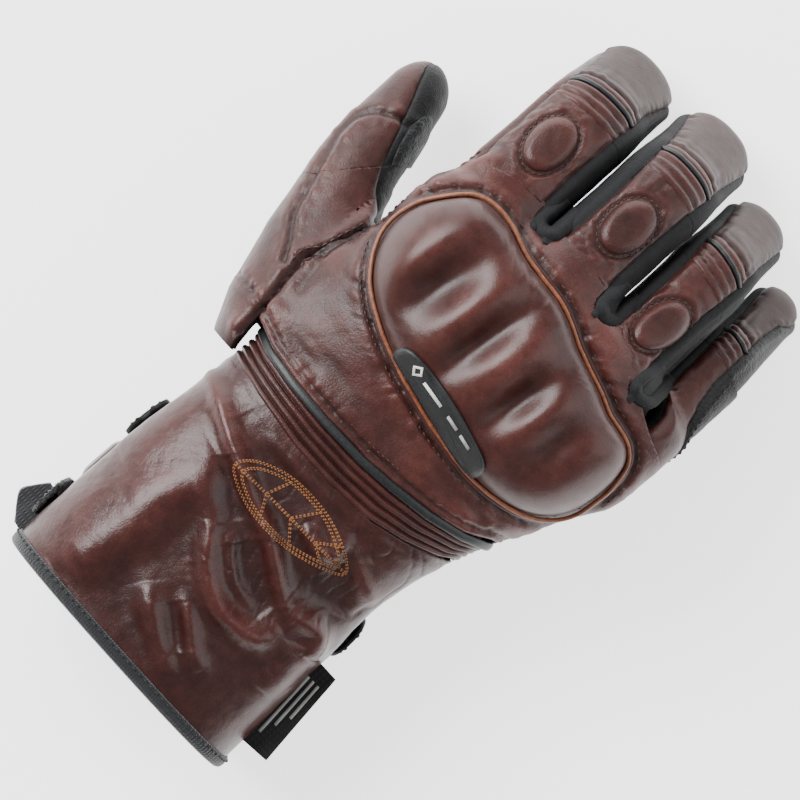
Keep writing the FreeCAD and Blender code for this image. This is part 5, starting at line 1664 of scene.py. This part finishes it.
# ------------------------------------------------------------------ cuff
RIDGES = [  # layout-grid points, height, width
    ([(211, 371), (228, 420), (238, 450), (249, 478), (257, 505), (266, 528)], 1.7, 3.0),
    ([(60, 572), (100, 549), (134, 529), (166, 499), (198, 484), (226, 470)], 3.0, 9.5),
    ([(148, 580), (152, 606), (159, 632), (170, 676)], 2.3, 5.0),
    ([(188, 600), (190, 622), (193, 645), (203, 668)], 1.7, 3.0),
    ([(216, 520), (209, 548), (208, 575), (215, 600), (229, 618), (256, 634), (280, 624)], 2.6, 4.0),
    ([(233, 531), (234, 556), (239, 582), (254, 606)], 1.6, 2.2),
    ([(268, 520), (277, 560), (282, 586), (287, 606)], 2.0, 3.2),
    ([(292, 610), (312, 622), (318, 634), (308, 656)], 2.2, 3.6),
    ([(305, 528), (322, 548), (334, 553), (346, 540)], 1.5, 3.0),
    ([(235, 398), (258, 430), (285, 455), (310, 482), (335, 520), (352, 545)], 1.1, 3.2),
    ([(120, 452), (160, 432), (196, 402)], 0.9, 8.0),
    ([(40, 530), (80, 505), (120, 482)], 0.8, 8.0),
    ([(296, 640), (285, 665), (262, 690)], 1.3, 5.0),
    ([(352, 560), (366, 590), (372, 604)], 1.2, 3.0),
]
VALLEYS = [
    ([(206, 512), (180, 520), (150, 552), (118, 592), (132, 640), (150, 668)], 2.6, 8.0),
    ([(176, 600), (178, 625), (182, 650)], 2.0, 2.8),
    ([(243, 540), (247, 568), (254, 590), (268, 612)], 3.0, 4.4),
    ([(228, 455), (231, 490), (236, 520)], 1.6, 2.2),
    ([(248, 412), (270, 448), (302, 486), (334, 512), (356, 537)], 2.0, 2.8),
    ([(291, 531), (296, 565), (303, 600)], 2.0, 3.0),
    ([(200, 560), (205, 595), (216, 622), (240, 640)], 1.7, 2.4),
    ([(262, 470), (282, 505), (300, 535)], 1.5, 2.6),
    ([(345, 560), (340, 590), (330, 612)], 2.2, 3.2),
    ([(60, 600), (96, 640), (132, 690)], 1.0, 7.0),
    ([(315, 575), (322, 596), (324, 610)], 1.4, 3.0),
]


def cuff_relief(Q, N):
    up_ = smoothstep(0.02, 0.35, N[:, 2])
    xy = Q[:, :2]
    d = np.zeros(len(Q))
    for pts, amp, w in RIDGES:
        a, s, _ = dist_line(xy, catmull(px(*pts), step=2.5))
        L_ = s.max()
        env = 0.35 + 0.65 * np.sin(np.pi * np.clip(s / max(L_, 1), 0.0, 1.0)) ** 0.5
        d += amp * env * np.exp(-((a / w) ** 2))
    for pts, amp, w in VALLEYS:
        a, s, _ = dist_line(xy, catmull(px(*pts), step=2.5))
        L_ = s.max()
        env = 0.35 + 0.65 * np.sin(np.pi * np.clip(s / max(L_, 1), 0.0, 1.0)) ** 0.5
        d -= 0.85 * amp * env * np.exp(-((a / (1.35 * w + 0.8)) ** 2))
    d *= up_ * 1.55
    d = np.where(d < 0, -3.0 * np.tanh(-d / 3.0), d)
    hem = smoothstep(-113.0, -100.0, Q[:, 1])
    x2 = np.interp(Q[:, 0], RIBEND[:, 0], RIBEND[:, 1])
    near_rib = smoothstep(0.0, -7.0, Q[:, 1] - x2)
    d = d * (0.12 + 0.88 * hem) * (0.25 + 0.75 * near_rib)
    d += (0.55 * fbm(Q, 26.0, 141) + 0.22 * fbm(Q, 8.0, 142)) * (0.3 + 0.7 * hem)
    # fine creases that follow the folds
    warp = fbm(Q, 12.0, 143) * 3.0
    cr = np.abs(noise(np.stack([(Q[:, 0] * 0.85 + Q[:, 1] * 0.25 + warp) , (Q[:, 1] * 0.35), Q[:, 2] * 0.3], 1), 3.4, 144))
    wr = smoothstep(-98, -60, Q[:, 1]) * smoothstep(-20, 6, Q[:, 0])
    d -= 0.30 * (1 - smoothstep(0.0, 0.22, cr)) * wr * up_
    d += 0.08 * fbm(Q, 2.6, 145, 2)
    return d


ntc, nyc = 230, 190
thc = even_angles(-4.0, 184.0, ntc)
xc_ = main_point(np.full(ntc, -40.0), thc)[:, 0]
ytop = np.interp(xc_, RIBEND[:, 0], RIBEND[:, 1]) + 0.9
v = np.linspace(0, 1, nyc)[:, None]
Yc = -114.6 * (1 - v) + ytop[None] * v
P = main_point(Yc, np.broadcast_to(thc, Yc.shape))
C = main_frames(Yc.ravel())["C"].reshape(P.shape)
N = outward(P, C)
d = cuff_relief(P.reshape(-1, 3), N.reshape(-1, 3)).reshape(Yc.shape)
edge_t = np.minimum(np.arange(ntc), np.arange(ntc)[::-1])[None] * 0.75
d = d - 0.7 * np.exp(-edge_t / 1.5)
d = d + 0.35 * smoothstep(0.985, 0.955, v) * smoothstep(0.90, 0.955, v)
Pc = P + N * d[..., None]
Nc = outward(Pc, C)
# fold value for the cuff's colour, without the broad noise: painted shade in the fold valleys and painted highlight on
# the fold ridges
sm = d - (0.55 * fbm(P.reshape(-1, 3), 26.0, 141)).reshape(d.shape)
cuff = Part()
slab(Pc, Nc, 1.3, cuff, "brown_cuff", np.clip(0.26 * sm, -0.7, 0.7))
CB = BVHTree.FromPolygons([tuple(p_) for p_ in Pc.reshape(-1, 3)], [tuple(map(int, f_)) for f_ in grid_faces(nyc, ntc)])


def on_cuff(xy, lift=0.0):
    P, N = [], []
    for x, y in np.asarray(xy, float):
        h = CB.ray_cast(Vector((x, y, 140.0)), Vector((0, 0, -1.0)))
        if h[0] is None:
            h = CB.find_nearest(Vector((x, y, 60.0)))
        n = h[1] if h[1].z > 0 else -h[1]
        P.append(tuple(h[0])), N.append(tuple(n))
    P, N = np.array(P), unit(np.array(N))
    return P + N * lift, N


emit(cuff, "cuff_back", "cuff", nodes=("cuff_back_panel",))

und = Part()
ntu, nyu = 170, 110
thu_ = even_angles(181.0, 359.0, ntu)
Yu = np.linspace(-114.6, -32.5, nyu)[:, None] + 0 * thu_[None]
P = main_point(Yu, np.broadcast_to(thu_, Yu.shape), -0.6)
C = main_frames(Yu.ravel())["C"].reshape(P.shape)
N = outward(P, C)
TH = np.broadcast_to(thu_, Yu.shape)
du = 0.5 * fbm(P.reshape(-1, 3), 22.0, 151).reshape(Yu.shape) + 0.2 * fbm(P.reshape(-1, 3), 7.0, 152).reshape(Yu.shape)
swell = 2.8 * gauss(TH - 193, 12) * smoothstep(-90.5, -84, Yu) * smoothstep(-67.5, -74, Yu)
du = du + swell - 0.6 * gauss(TH - 268, 5) * 0
P = P + N * du[..., None]
# fold value from the displacement: painted shade in the hollows and painted highlight on the swell
slab(P, outward(P, C), 1.3, und, "brown_cuff", np.clip(0.4 * du, -1, 1))
emit(und, "cuff_under", "cuff", nodes=("cuff_under_panel",))

# hem binding: one folded tape round both edges
hem = Part()
prof = [(-111.0, -0.35), (-110.95, 0.55), (-111.7, 0.98), (-113.4, 1.05), (-114.7, 0.75), (-115.3, 0.0), (-115.4, -1.6), (-115.0, -2.9), (-113.5, -3.35), (-111.2, -3.2)]
th_h = even_angles(-90.0, 270.0, 301)[:-1]
yh = np.array([p_[0] for p_ in prof])[:, None] + 0 * th_h[None]
gh = np.array([p_[1] for p_ in prof])[:, None] + 0 * th_h[None]
base = main_point(np.full_like(yh, -114.0), np.broadcast_to(th_h, yh.shape))
nb_ = outward(np.concatenate([base[:1], base[:1] + A(0, 1, 0)]), main_frames(np.array([-114.0, -113.0]))["C"][:, None])[0]
wav = (0.55 * 0.3 * fbm(base[0], 26.0, 141))[None, :]
Ph = main_point(np.maximum(yh, -115.8), np.broadcast_to(th_h, yh.shape)) + nb_[None] * (gh + wav)[..., None]
Ph[..., 1] = yh
Ph = Ph.transpose(1, 0, 2)
n_h, m_h = Ph.shape[:2]
F_ = [tuple(f_) for f_ in grid_faces(n_h, m_h, wrap=True)] + [((n_h - 1) * m_h + j, (n_h - 1) * m_h + (j + 1) % m_h, (j + 1) % m_h, j) for j in range(m_h)]
hem.add(Ph.reshape(-1, 3), F_, "binding")
thd = even_angles(-90, 270, 700)
Pst = main_point(np.full(700, -111.9), thd)
ctr = main_frames(np.full(700, -111.9))["C"]
Ns = unit((Pst - ctr) * A(1, 0, 1))
Nsm = np.stack([np.interp(np.arange(700), np.linspace(0, 699, len(nb_)), nb_[:, i_]) for i_ in range(3)], 1)
stitches(Pst + Nsm * 1.12, Nsm, hem, "thread_black", pitch=2.5, r=0.3)
emit(hem, "hem_tape", "cuff", nodes=("hem_binding",))

# stitched leaf on the back of the cuff
motif = Part()
leaf = catmull([(238, 463), (262, 462), (296, 479), (326, 511), (343, 545), (346, 572), (322, 566), (286, 545), (255, 512), (240, 484)], closed=True, step=2.0)
leaf = px(*leaf)
lines = [np.vstack([leaf, leaf[:1]])]
cen = leaf.mean(0)
lines.append(cen + (lines[0] - cen) * 0.86)
lines.append(px((238, 463), (292, 517), (346, 572)))
for k, (a_, b_) in enumerate((((268, 493), (294, 481)), ((292, 517), (324, 511)), ((316, 541), (342, 545)), ((268, 493), (262, 516)), ((292, 517), (290, 546)), ((316, 541), (322, 563)))):
    lines.append(px(a_, b_))
for ln in lines:
    ln = resample(ln, 0.8)
    for off_ in (-0.24, 0.24):
        P, N = on_cuff(offset_open(ln, off_), 0.02)
        stitches(P, N, motif, "thread_orange", pitch=1.15, gap=0.18, r=0.29, lift=0.0)
emit(motif, "cuff_stitched_leaf", "cuff")

# side label
lab = Part()
c0, c1, c2_, c3 = A(40.6, -70.9, 40.4), A(49.6, -70.7, 41.4), A(53.8, -102.7, 40.2), A(43.6, -103.9, 38.6)
uu, vv = np.meshgrid(np.linspace(0, 1, 16), np.linspace(0, 1, 50))
G = (c0 * (1 - uu[..., None]) + c1 * uu[..., None]) * (1 - vv[..., None]) + (c3 * (1 - uu[..., None]) + c2_ * uu[..., None]) * vv[..., None]
G[..., 2] += 0.9 * np.sin(vv * 5.2 + 0.6) * uu - 1.2 * uu**2 + 0.25 * np.sin(uu * 6 + vv * 9)
NL = grid_normals(G)
NL = np.where(NL[..., 2:3] < 0, -NL, NL)
slab(G, NL, 0.9, lab, "textile")


def on_label(u0, u1, v0, v1, mat):
    U, Vv = np.meshgrid(np.linspace(u0, u1, 3), np.linspace(v0, v1, 6))
    p_ = np.empty(U.shape + (3,))
    for i in range(3):
        from_g = G[..., i]
        yi, xi = Vv * 49, U * 15
        y0_, x0_ = np.clip(np.floor(yi).astype(int), 0, 48), np.clip(np.floor(xi).astype(int), 0, 14)
        fy, fx = yi - y0_, xi - x0_
        p_[..., i] = from_g[y0_, x0_] * (1 - fy) * (1 - fx) + from_g[y0_ + 1, x0_] * fy * (1 - fx) + from_g[y0_, x0_ + 1] * (1 - fy) * fx + from_g[y0_ + 1, x0_ + 1] * fy * fx
    nn_ = grid_normals(p_)
    nn_ = np.where(nn_[..., 2:3] < 0, -nn_, nn_)
    slab(p_ + nn_ * 0.12, nn_, 0.14, lab, mat)


for k in range(3):
    on_label(0.22 + k * 0.22, 0.32 + k * 0.22, 0.16, 0.84 - 0.14 * k, "print_grey")
emit(lab, "side_label_tab", "cuff", nodes=("side_label",))


# ------------------------------------------------------------------ straps
def strap(y0, y1, a, b, g0, g1, part, mat, ends=(1, 1), stitch="thread_black", edge=0.35, wob=161):
    """A flat strap lying round the cuff, with rounded corners and edge stitching."""
    nt_, ny_ = max(24, int(abs(b - a) * 0.9)), 25
    th_ = even_angles(a, b, nt_)
    yc_, hw = (y0 + y1) / 2, (y1 - y0) / 2
    x_ = np.linspace(0, 1, nt_)
    arc = abs(b - a) * 0.0175 * 36
    wv_ = np.ones(nt_)
    r_ = min(hw * 0.9, arc * 0.4)
    if ends[0]:
        z_ = np.clip(x_ * arc / r_, 0, 1)
        wv_ = np.minimum(wv_, 0.25 + 0.75 * np.sqrt(1 - (1 - z_) ** 2))
    if ends[1]:
        z_ = np.clip((1 - x_) * arc / r_, 0, 1)
        wv_ = np.minimum(wv_, 0.25 + 0.75 * np.sqrt(1 - (1 - z_) ** 2))
    vv_ = np.linspace(-1, 1, ny_)
    Y = yc_ + hw * vv_[:, None] * wv_[None]
    T_ = np.broadcast_to(th_, Y.shape)
    P = main_point(Y, T_, g1)
    C = main_frames(Y.ravel())["C"].reshape(P.shape)
    N = outward(P, C)
    dd = -edge * np.exp(-(1 - np.abs(vv_))[:, None] * hw / 0.8) + 0.12 * fbm(P.reshape(-1, 3), 5.0, wob).reshape(Y.shape)
    P = P + N * dd[..., None]
    # fold value: on leather straps, painted shade along the sunk edges
    slab(P, N, g1 - g0, part, mat, np.clip(dd, -1, 1))
    if stitch:
        for sgn in (3, ny_ - 4):
            stitches(P[sgn], N[sgn], part, stitch, pitch=2.6, r=0.28)
    return P, N


for nm, y0, y1, a, b, body, ends in (("wrist_strap", -68, -52, 200.5, 352.0, "wrist_closure", (0, 1)), ("hem_strap", -106, -90, 176.0, 320.5, "hem_closure", (1, 0))):
    sp_ = Part()
    strap(y0, y1, a, b, 1.5, 2.9, sp_, "webbing" if nm == "hem_strap" else "black", ends)
    emit(sp_, nm + "_band", body, nodes=(nm,))
for nm, y0, y1, a, b, body in (("wrist_strap_hooks", -66.5, -53.5, 264, 320, "wrist_closure"), ("hem_strap_hooks", -104, -92, 198, 260, "hem_closure")):
    sp_ = Part()
    strap(y0, y1, a, b, 0.85, 1.45, sp_, "hooktape", (1, 1), None, edge=0.1)
    emit(sp_, nm + "_tape", body, nodes=(nm,))
lp = Part()
strap(-67, -53, 262, 322, 0.1, 0.8, lp, "lining", (1, 1), "thread_black", edge=0.1)
strap(-104.5, -91.5, 196, 262, 0.1, 0.8, lp, "lining", (1, 1), "thread_black", edge=0.1)
emit(lp, "cuff_loop_tape", "cuff", nodes=("cuff_loop_patches",))
an = Part()
strap(-68, -52, 182, 199.5, 0.1, 2.4, an, "black", (1, 0), "thread_black")
strap(-106, -90, 321.5, 337, 0.1, 2.4, an, "black", (0, 1), "thread_black")
# gathered elastic beside the hem strap's pull tab
yel = np.linspace(-99.4, -94.0, 40)[:, None]
tel = even_angles(176, 190, 14)[None]
P = main_point(yel + 0 * tel, tel + 0 * yel, 2.4 + 1.0 * np.abs(np.sin((yel + 99.4) * 2.1)) + 0 * tel)
C = main_frames(np.broadcast_to(yel, P.shape[:2]).ravel())["C"].reshape(P.shape)
slab(P, outward(P, C), 1.4, an, "webbing")
emit(an, "strap_anchor_tabs", "cuff", nodes=("strap_anchors",))

tab = Part()
jj = np.linspace(0, 1, 26)
inner_ = np.stack([-45.8 + 0 * jj, -112.2 + 15.8 * jj], 1)
outer_ = catmull(np.array([(-50.6, -111.3), (-54.6, -107.2), (-57.0, -103.4), (-55.2, -99.6), (-52.4, -95.4)]), step=0.2)
outer_ = outer_[np.linspace(0, len(outer_) - 1, 26).astype(int)]
path_ = [(r_, 34.2 - 1.0 * r_) for r_ in np.linspace(0, 0.93, 12)] + [(0.93 + 0.07 * math.sin(a_), 31.6 + 1.65 * math.cos(a_)) for a_ in np.linspace(0.2, 2.94, 9)] + [(r_, 29.9 + 0.3 * r_) for r_ in np.linspace(0.93, 0, 12)]
P = np.stack([np.concatenate([inner_ * (1 - r_) + outer_ * r_, np.full((26, 1), z_) + 0.35 * np.sin(jj * 5.0 + r_ * 2)[:, None]], 1) for r_, z_ in path_])
slab(P, grid_normals(P), 1.0, tab, "webbing")
emit(tab, "hem_strap_pull_tab", "hem_closure")

# patch on the outer edge of the little finger
key = "pinky"
store, sc, sp, t, q0 = finger_parts[key]
s_ = np.linspace(14.0, sc - 1.0, 60)
yv_ = np.linspace(0, 1, 22)
r_, _l = None, None
fr = t.frames(s_)
yb = (fr["C"] + fr["N"] * fr["hu"][:, None] * 0.8)[:, 1]
hi_ = np.interp(yb, [40, 47, 53, 58, 66, 74, 92], [-26, -12, 8, 34, 56, 66, 66])
TH = -44 + (hi_[:, None] + 44) * yv_[None]
P = section(fr, TH, t.power, 0.0)
fun = lambda Q: smin(f_main(Q), t.implicit(Q, 0.0), 9.0)
shp = P.shape
Q = P.reshape(-1, 3)
k = np.repeat(smoothstep(46, 36, s_), 22)[:, None]
Q = Q * (1 - k) + project(fun, Q, 3) * k
P = Q.reshape(shp)
C = np.broadcast_to(fr["C"][:, None], shp)
N = outward(P, C)
e_ = np.minimum(yv_, 1 - yv_)[None] * 20
dd = 1.15 - 0.7 * np.exp(-e_ / 0.9) + 0.22 * fbm(Q, 4.0, 171).reshape(shp[:2])
sp2 = Part()
# fold value: painted shade along the patch's lowered edges
slab(P + N * dd[..., None], N, 1.0, sp2, "black_patch", np.clip(dd - 1.1, -1, 1))
stitches((P + N * dd[..., None])[2:-2, 19], N[2:-2, 19], sp2, "thread_black", pitch=2.2, r=0.27)
f = FING[key]
yr = float(np.interp(f["x"], ROOT[:, 0], ROOT[:, 1]))
emit(sp2, "pinky_edge_patch", bend=("hand", "pinky_base", (f["x"], yr - 3.0, 55.0), (f["x"], yr + 16.0, 50.0)), nodes=("pinky_side_patch",))

# ------------------------------------------------------------------ rolled webs between the fingers
for nm, (x0, y0) in WEBS.items():
    nr_, na_ = 26, 60
    length = 9.0
    path, nrm = [], []
    # horseshoe parameter: down the thumb-side arm, round the bottom, up the other arm
    arm = np.linspace(length, 0, 12)[:-1]
    bend_a = np.linspace(np.pi, 2 * np.pi, 26)
    ctrs = [((x0, y0 + a_), (-1.0, 0.0)) for a_ in arm] + [((x0, y0), (math.cos(b_), math.sin(b_))) for b_ in bend_a] + [((x0, y0 + a_), (1.0, 0.0)) for a_ in arm[::-1]]
    rr_ = np.linspace(0.25, 5.9, nr_)
    XY = np.array([[(c_[0] + d_[0] * r, c_[1] + d_[1] * r) for r in rr_] for c_, d_ in ctrs])
    flat = XY.reshape(-1, 2)
    P, N = drop(flat)
    Z = P[:, 2].reshape(len(ctrs), nr_)
    zo = Z[:, -1]
    for _ in range(6):
        zo = np.convolve(np.pad(zo, 2, mode="edge"), np.ones(5) / 5, "valid")
    t_ = (rr_ / 5.9)[None]
    zz = zo[:, None] - 0.9 + 0.0 * t_
    zz = zz + 1.5 * np.sin(np.pi * np.clip(t_, 0, 1) ** 0.9) ** 0.8 - 5.5 * np.exp(-(rr_[None] / 0.95) ** 1.4)
    zz -= 0.9 * smoothstep(0.9, 1.0, t_)
    sunk = np.array(list(arm) + [0.0] * 26 + list(arm[::-1]))
    zz -= 2.6 * smoothstep(2.0, length, sunk)[:, None]
    G = np.concatenate([XY, zz[..., None]], -1)
    n_w = grid_normals(G)
    n_w = np.where(n_w[..., 2:3] < 0, -n_w, n_w)
    G = G + n_w * (0.18 * fbm(G.reshape(-1, 3), 3.0, 181).reshape(zz.shape))[..., None]
    wp = Part()
    slab(G, n_w, 0.9, wp, "fourchette")
    emit(wp, nm + "_web_roll", "hand")

# ------------------------------------------------------------------ floor, lights, camera
fm, fnt, fb_ = nodes_of("floor_white")
fb_.inputs["Base Color"].default_value = (0.96, 0.96, 0.96, 1)
fb_.inputs["Roughness"].default_value = 0.9
fb_.inputs["Emission Color"].default_value = (1.0, 1.0, 1.0, 1)
fb_.inputs["Emission Strength"].default_value = 1.9
fb_.inputs["Specular IOR Level"].default_value = 0.1
bpy.ops.mesh.primitive_plane_add(size=14.0, location=(0, 0, -0.0005))
floor = bpy.context.object
floor.name = "floor"
floor.data.materials.append(fm)

world = bpy.data.worlds.new("studio")
bpy.context.scene.world = world
world.use_nodes = True
wn = world.node_tree
bg = wn.nodes["Background"]
bg.inputs["Color"].default_value = (1.0, 1.0, 1.0, 1)
bg.inputs["Strength"].default_value = 0.5


def area(name, loc, target, size, energy, color=(1, 1, 1)):
    l = bpy.data.lights.new(name, "AREA")
    l.shape = "RECTANGLE"
    l.size, l.size_y = size
    l.energy = energy
    l.color = color
    o = bpy.data.objects.new(name, l)
    bpy.context.scene.collection.objects.link(o)
    o.location = loc
    d_ = Vector(target) - Vector(loc)
    o.rotation_euler = d_.to_track_quat("-Z", "Y").to_euler()
    return o


RIGHT, UP = A(0.669, 0.743, 0), A(-0.743, 0.669, 0)
key_at = -0.75 * RIGHT + 0.75 * UP + A(0, 0, 0.95)
area("key", tuple(key_at), (0, 0, 0.04), (0.9, 0.9), 36.0)
area("fill", tuple(1.1 * RIGHT - 0.2 * UP + A(0, 0, 0.7)), (0, 0, 0.04), (1.2, 1.2), 8.0)
area("rim", tuple(0.2 * RIGHT + 1.2 * UP + A(0, 0, 0.35)), (0, 0, 0.05), (1.4, 0.7), 10.0)

cam = bpy.data.cameras.new("camera")
cam.lens = 240.0
cam.sensor_width = 36.0
cam.clip_start, cam.clip_end = 0.05, 30.0
co = bpy.data.objects.new("camera", cam)
bpy.context.scene.collection.objects.link(co)
m4 = Matrix(((RIGHT[0], UP[0], 0, MOVE[0] / 1000), (RIGHT[1], UP[1], 0, MOVE[1] / 1000), (0, 0, 1, 1.645), (0, 0, 0, 1)))
co.matrix_world = m4
bpy.context.scene.camera = co
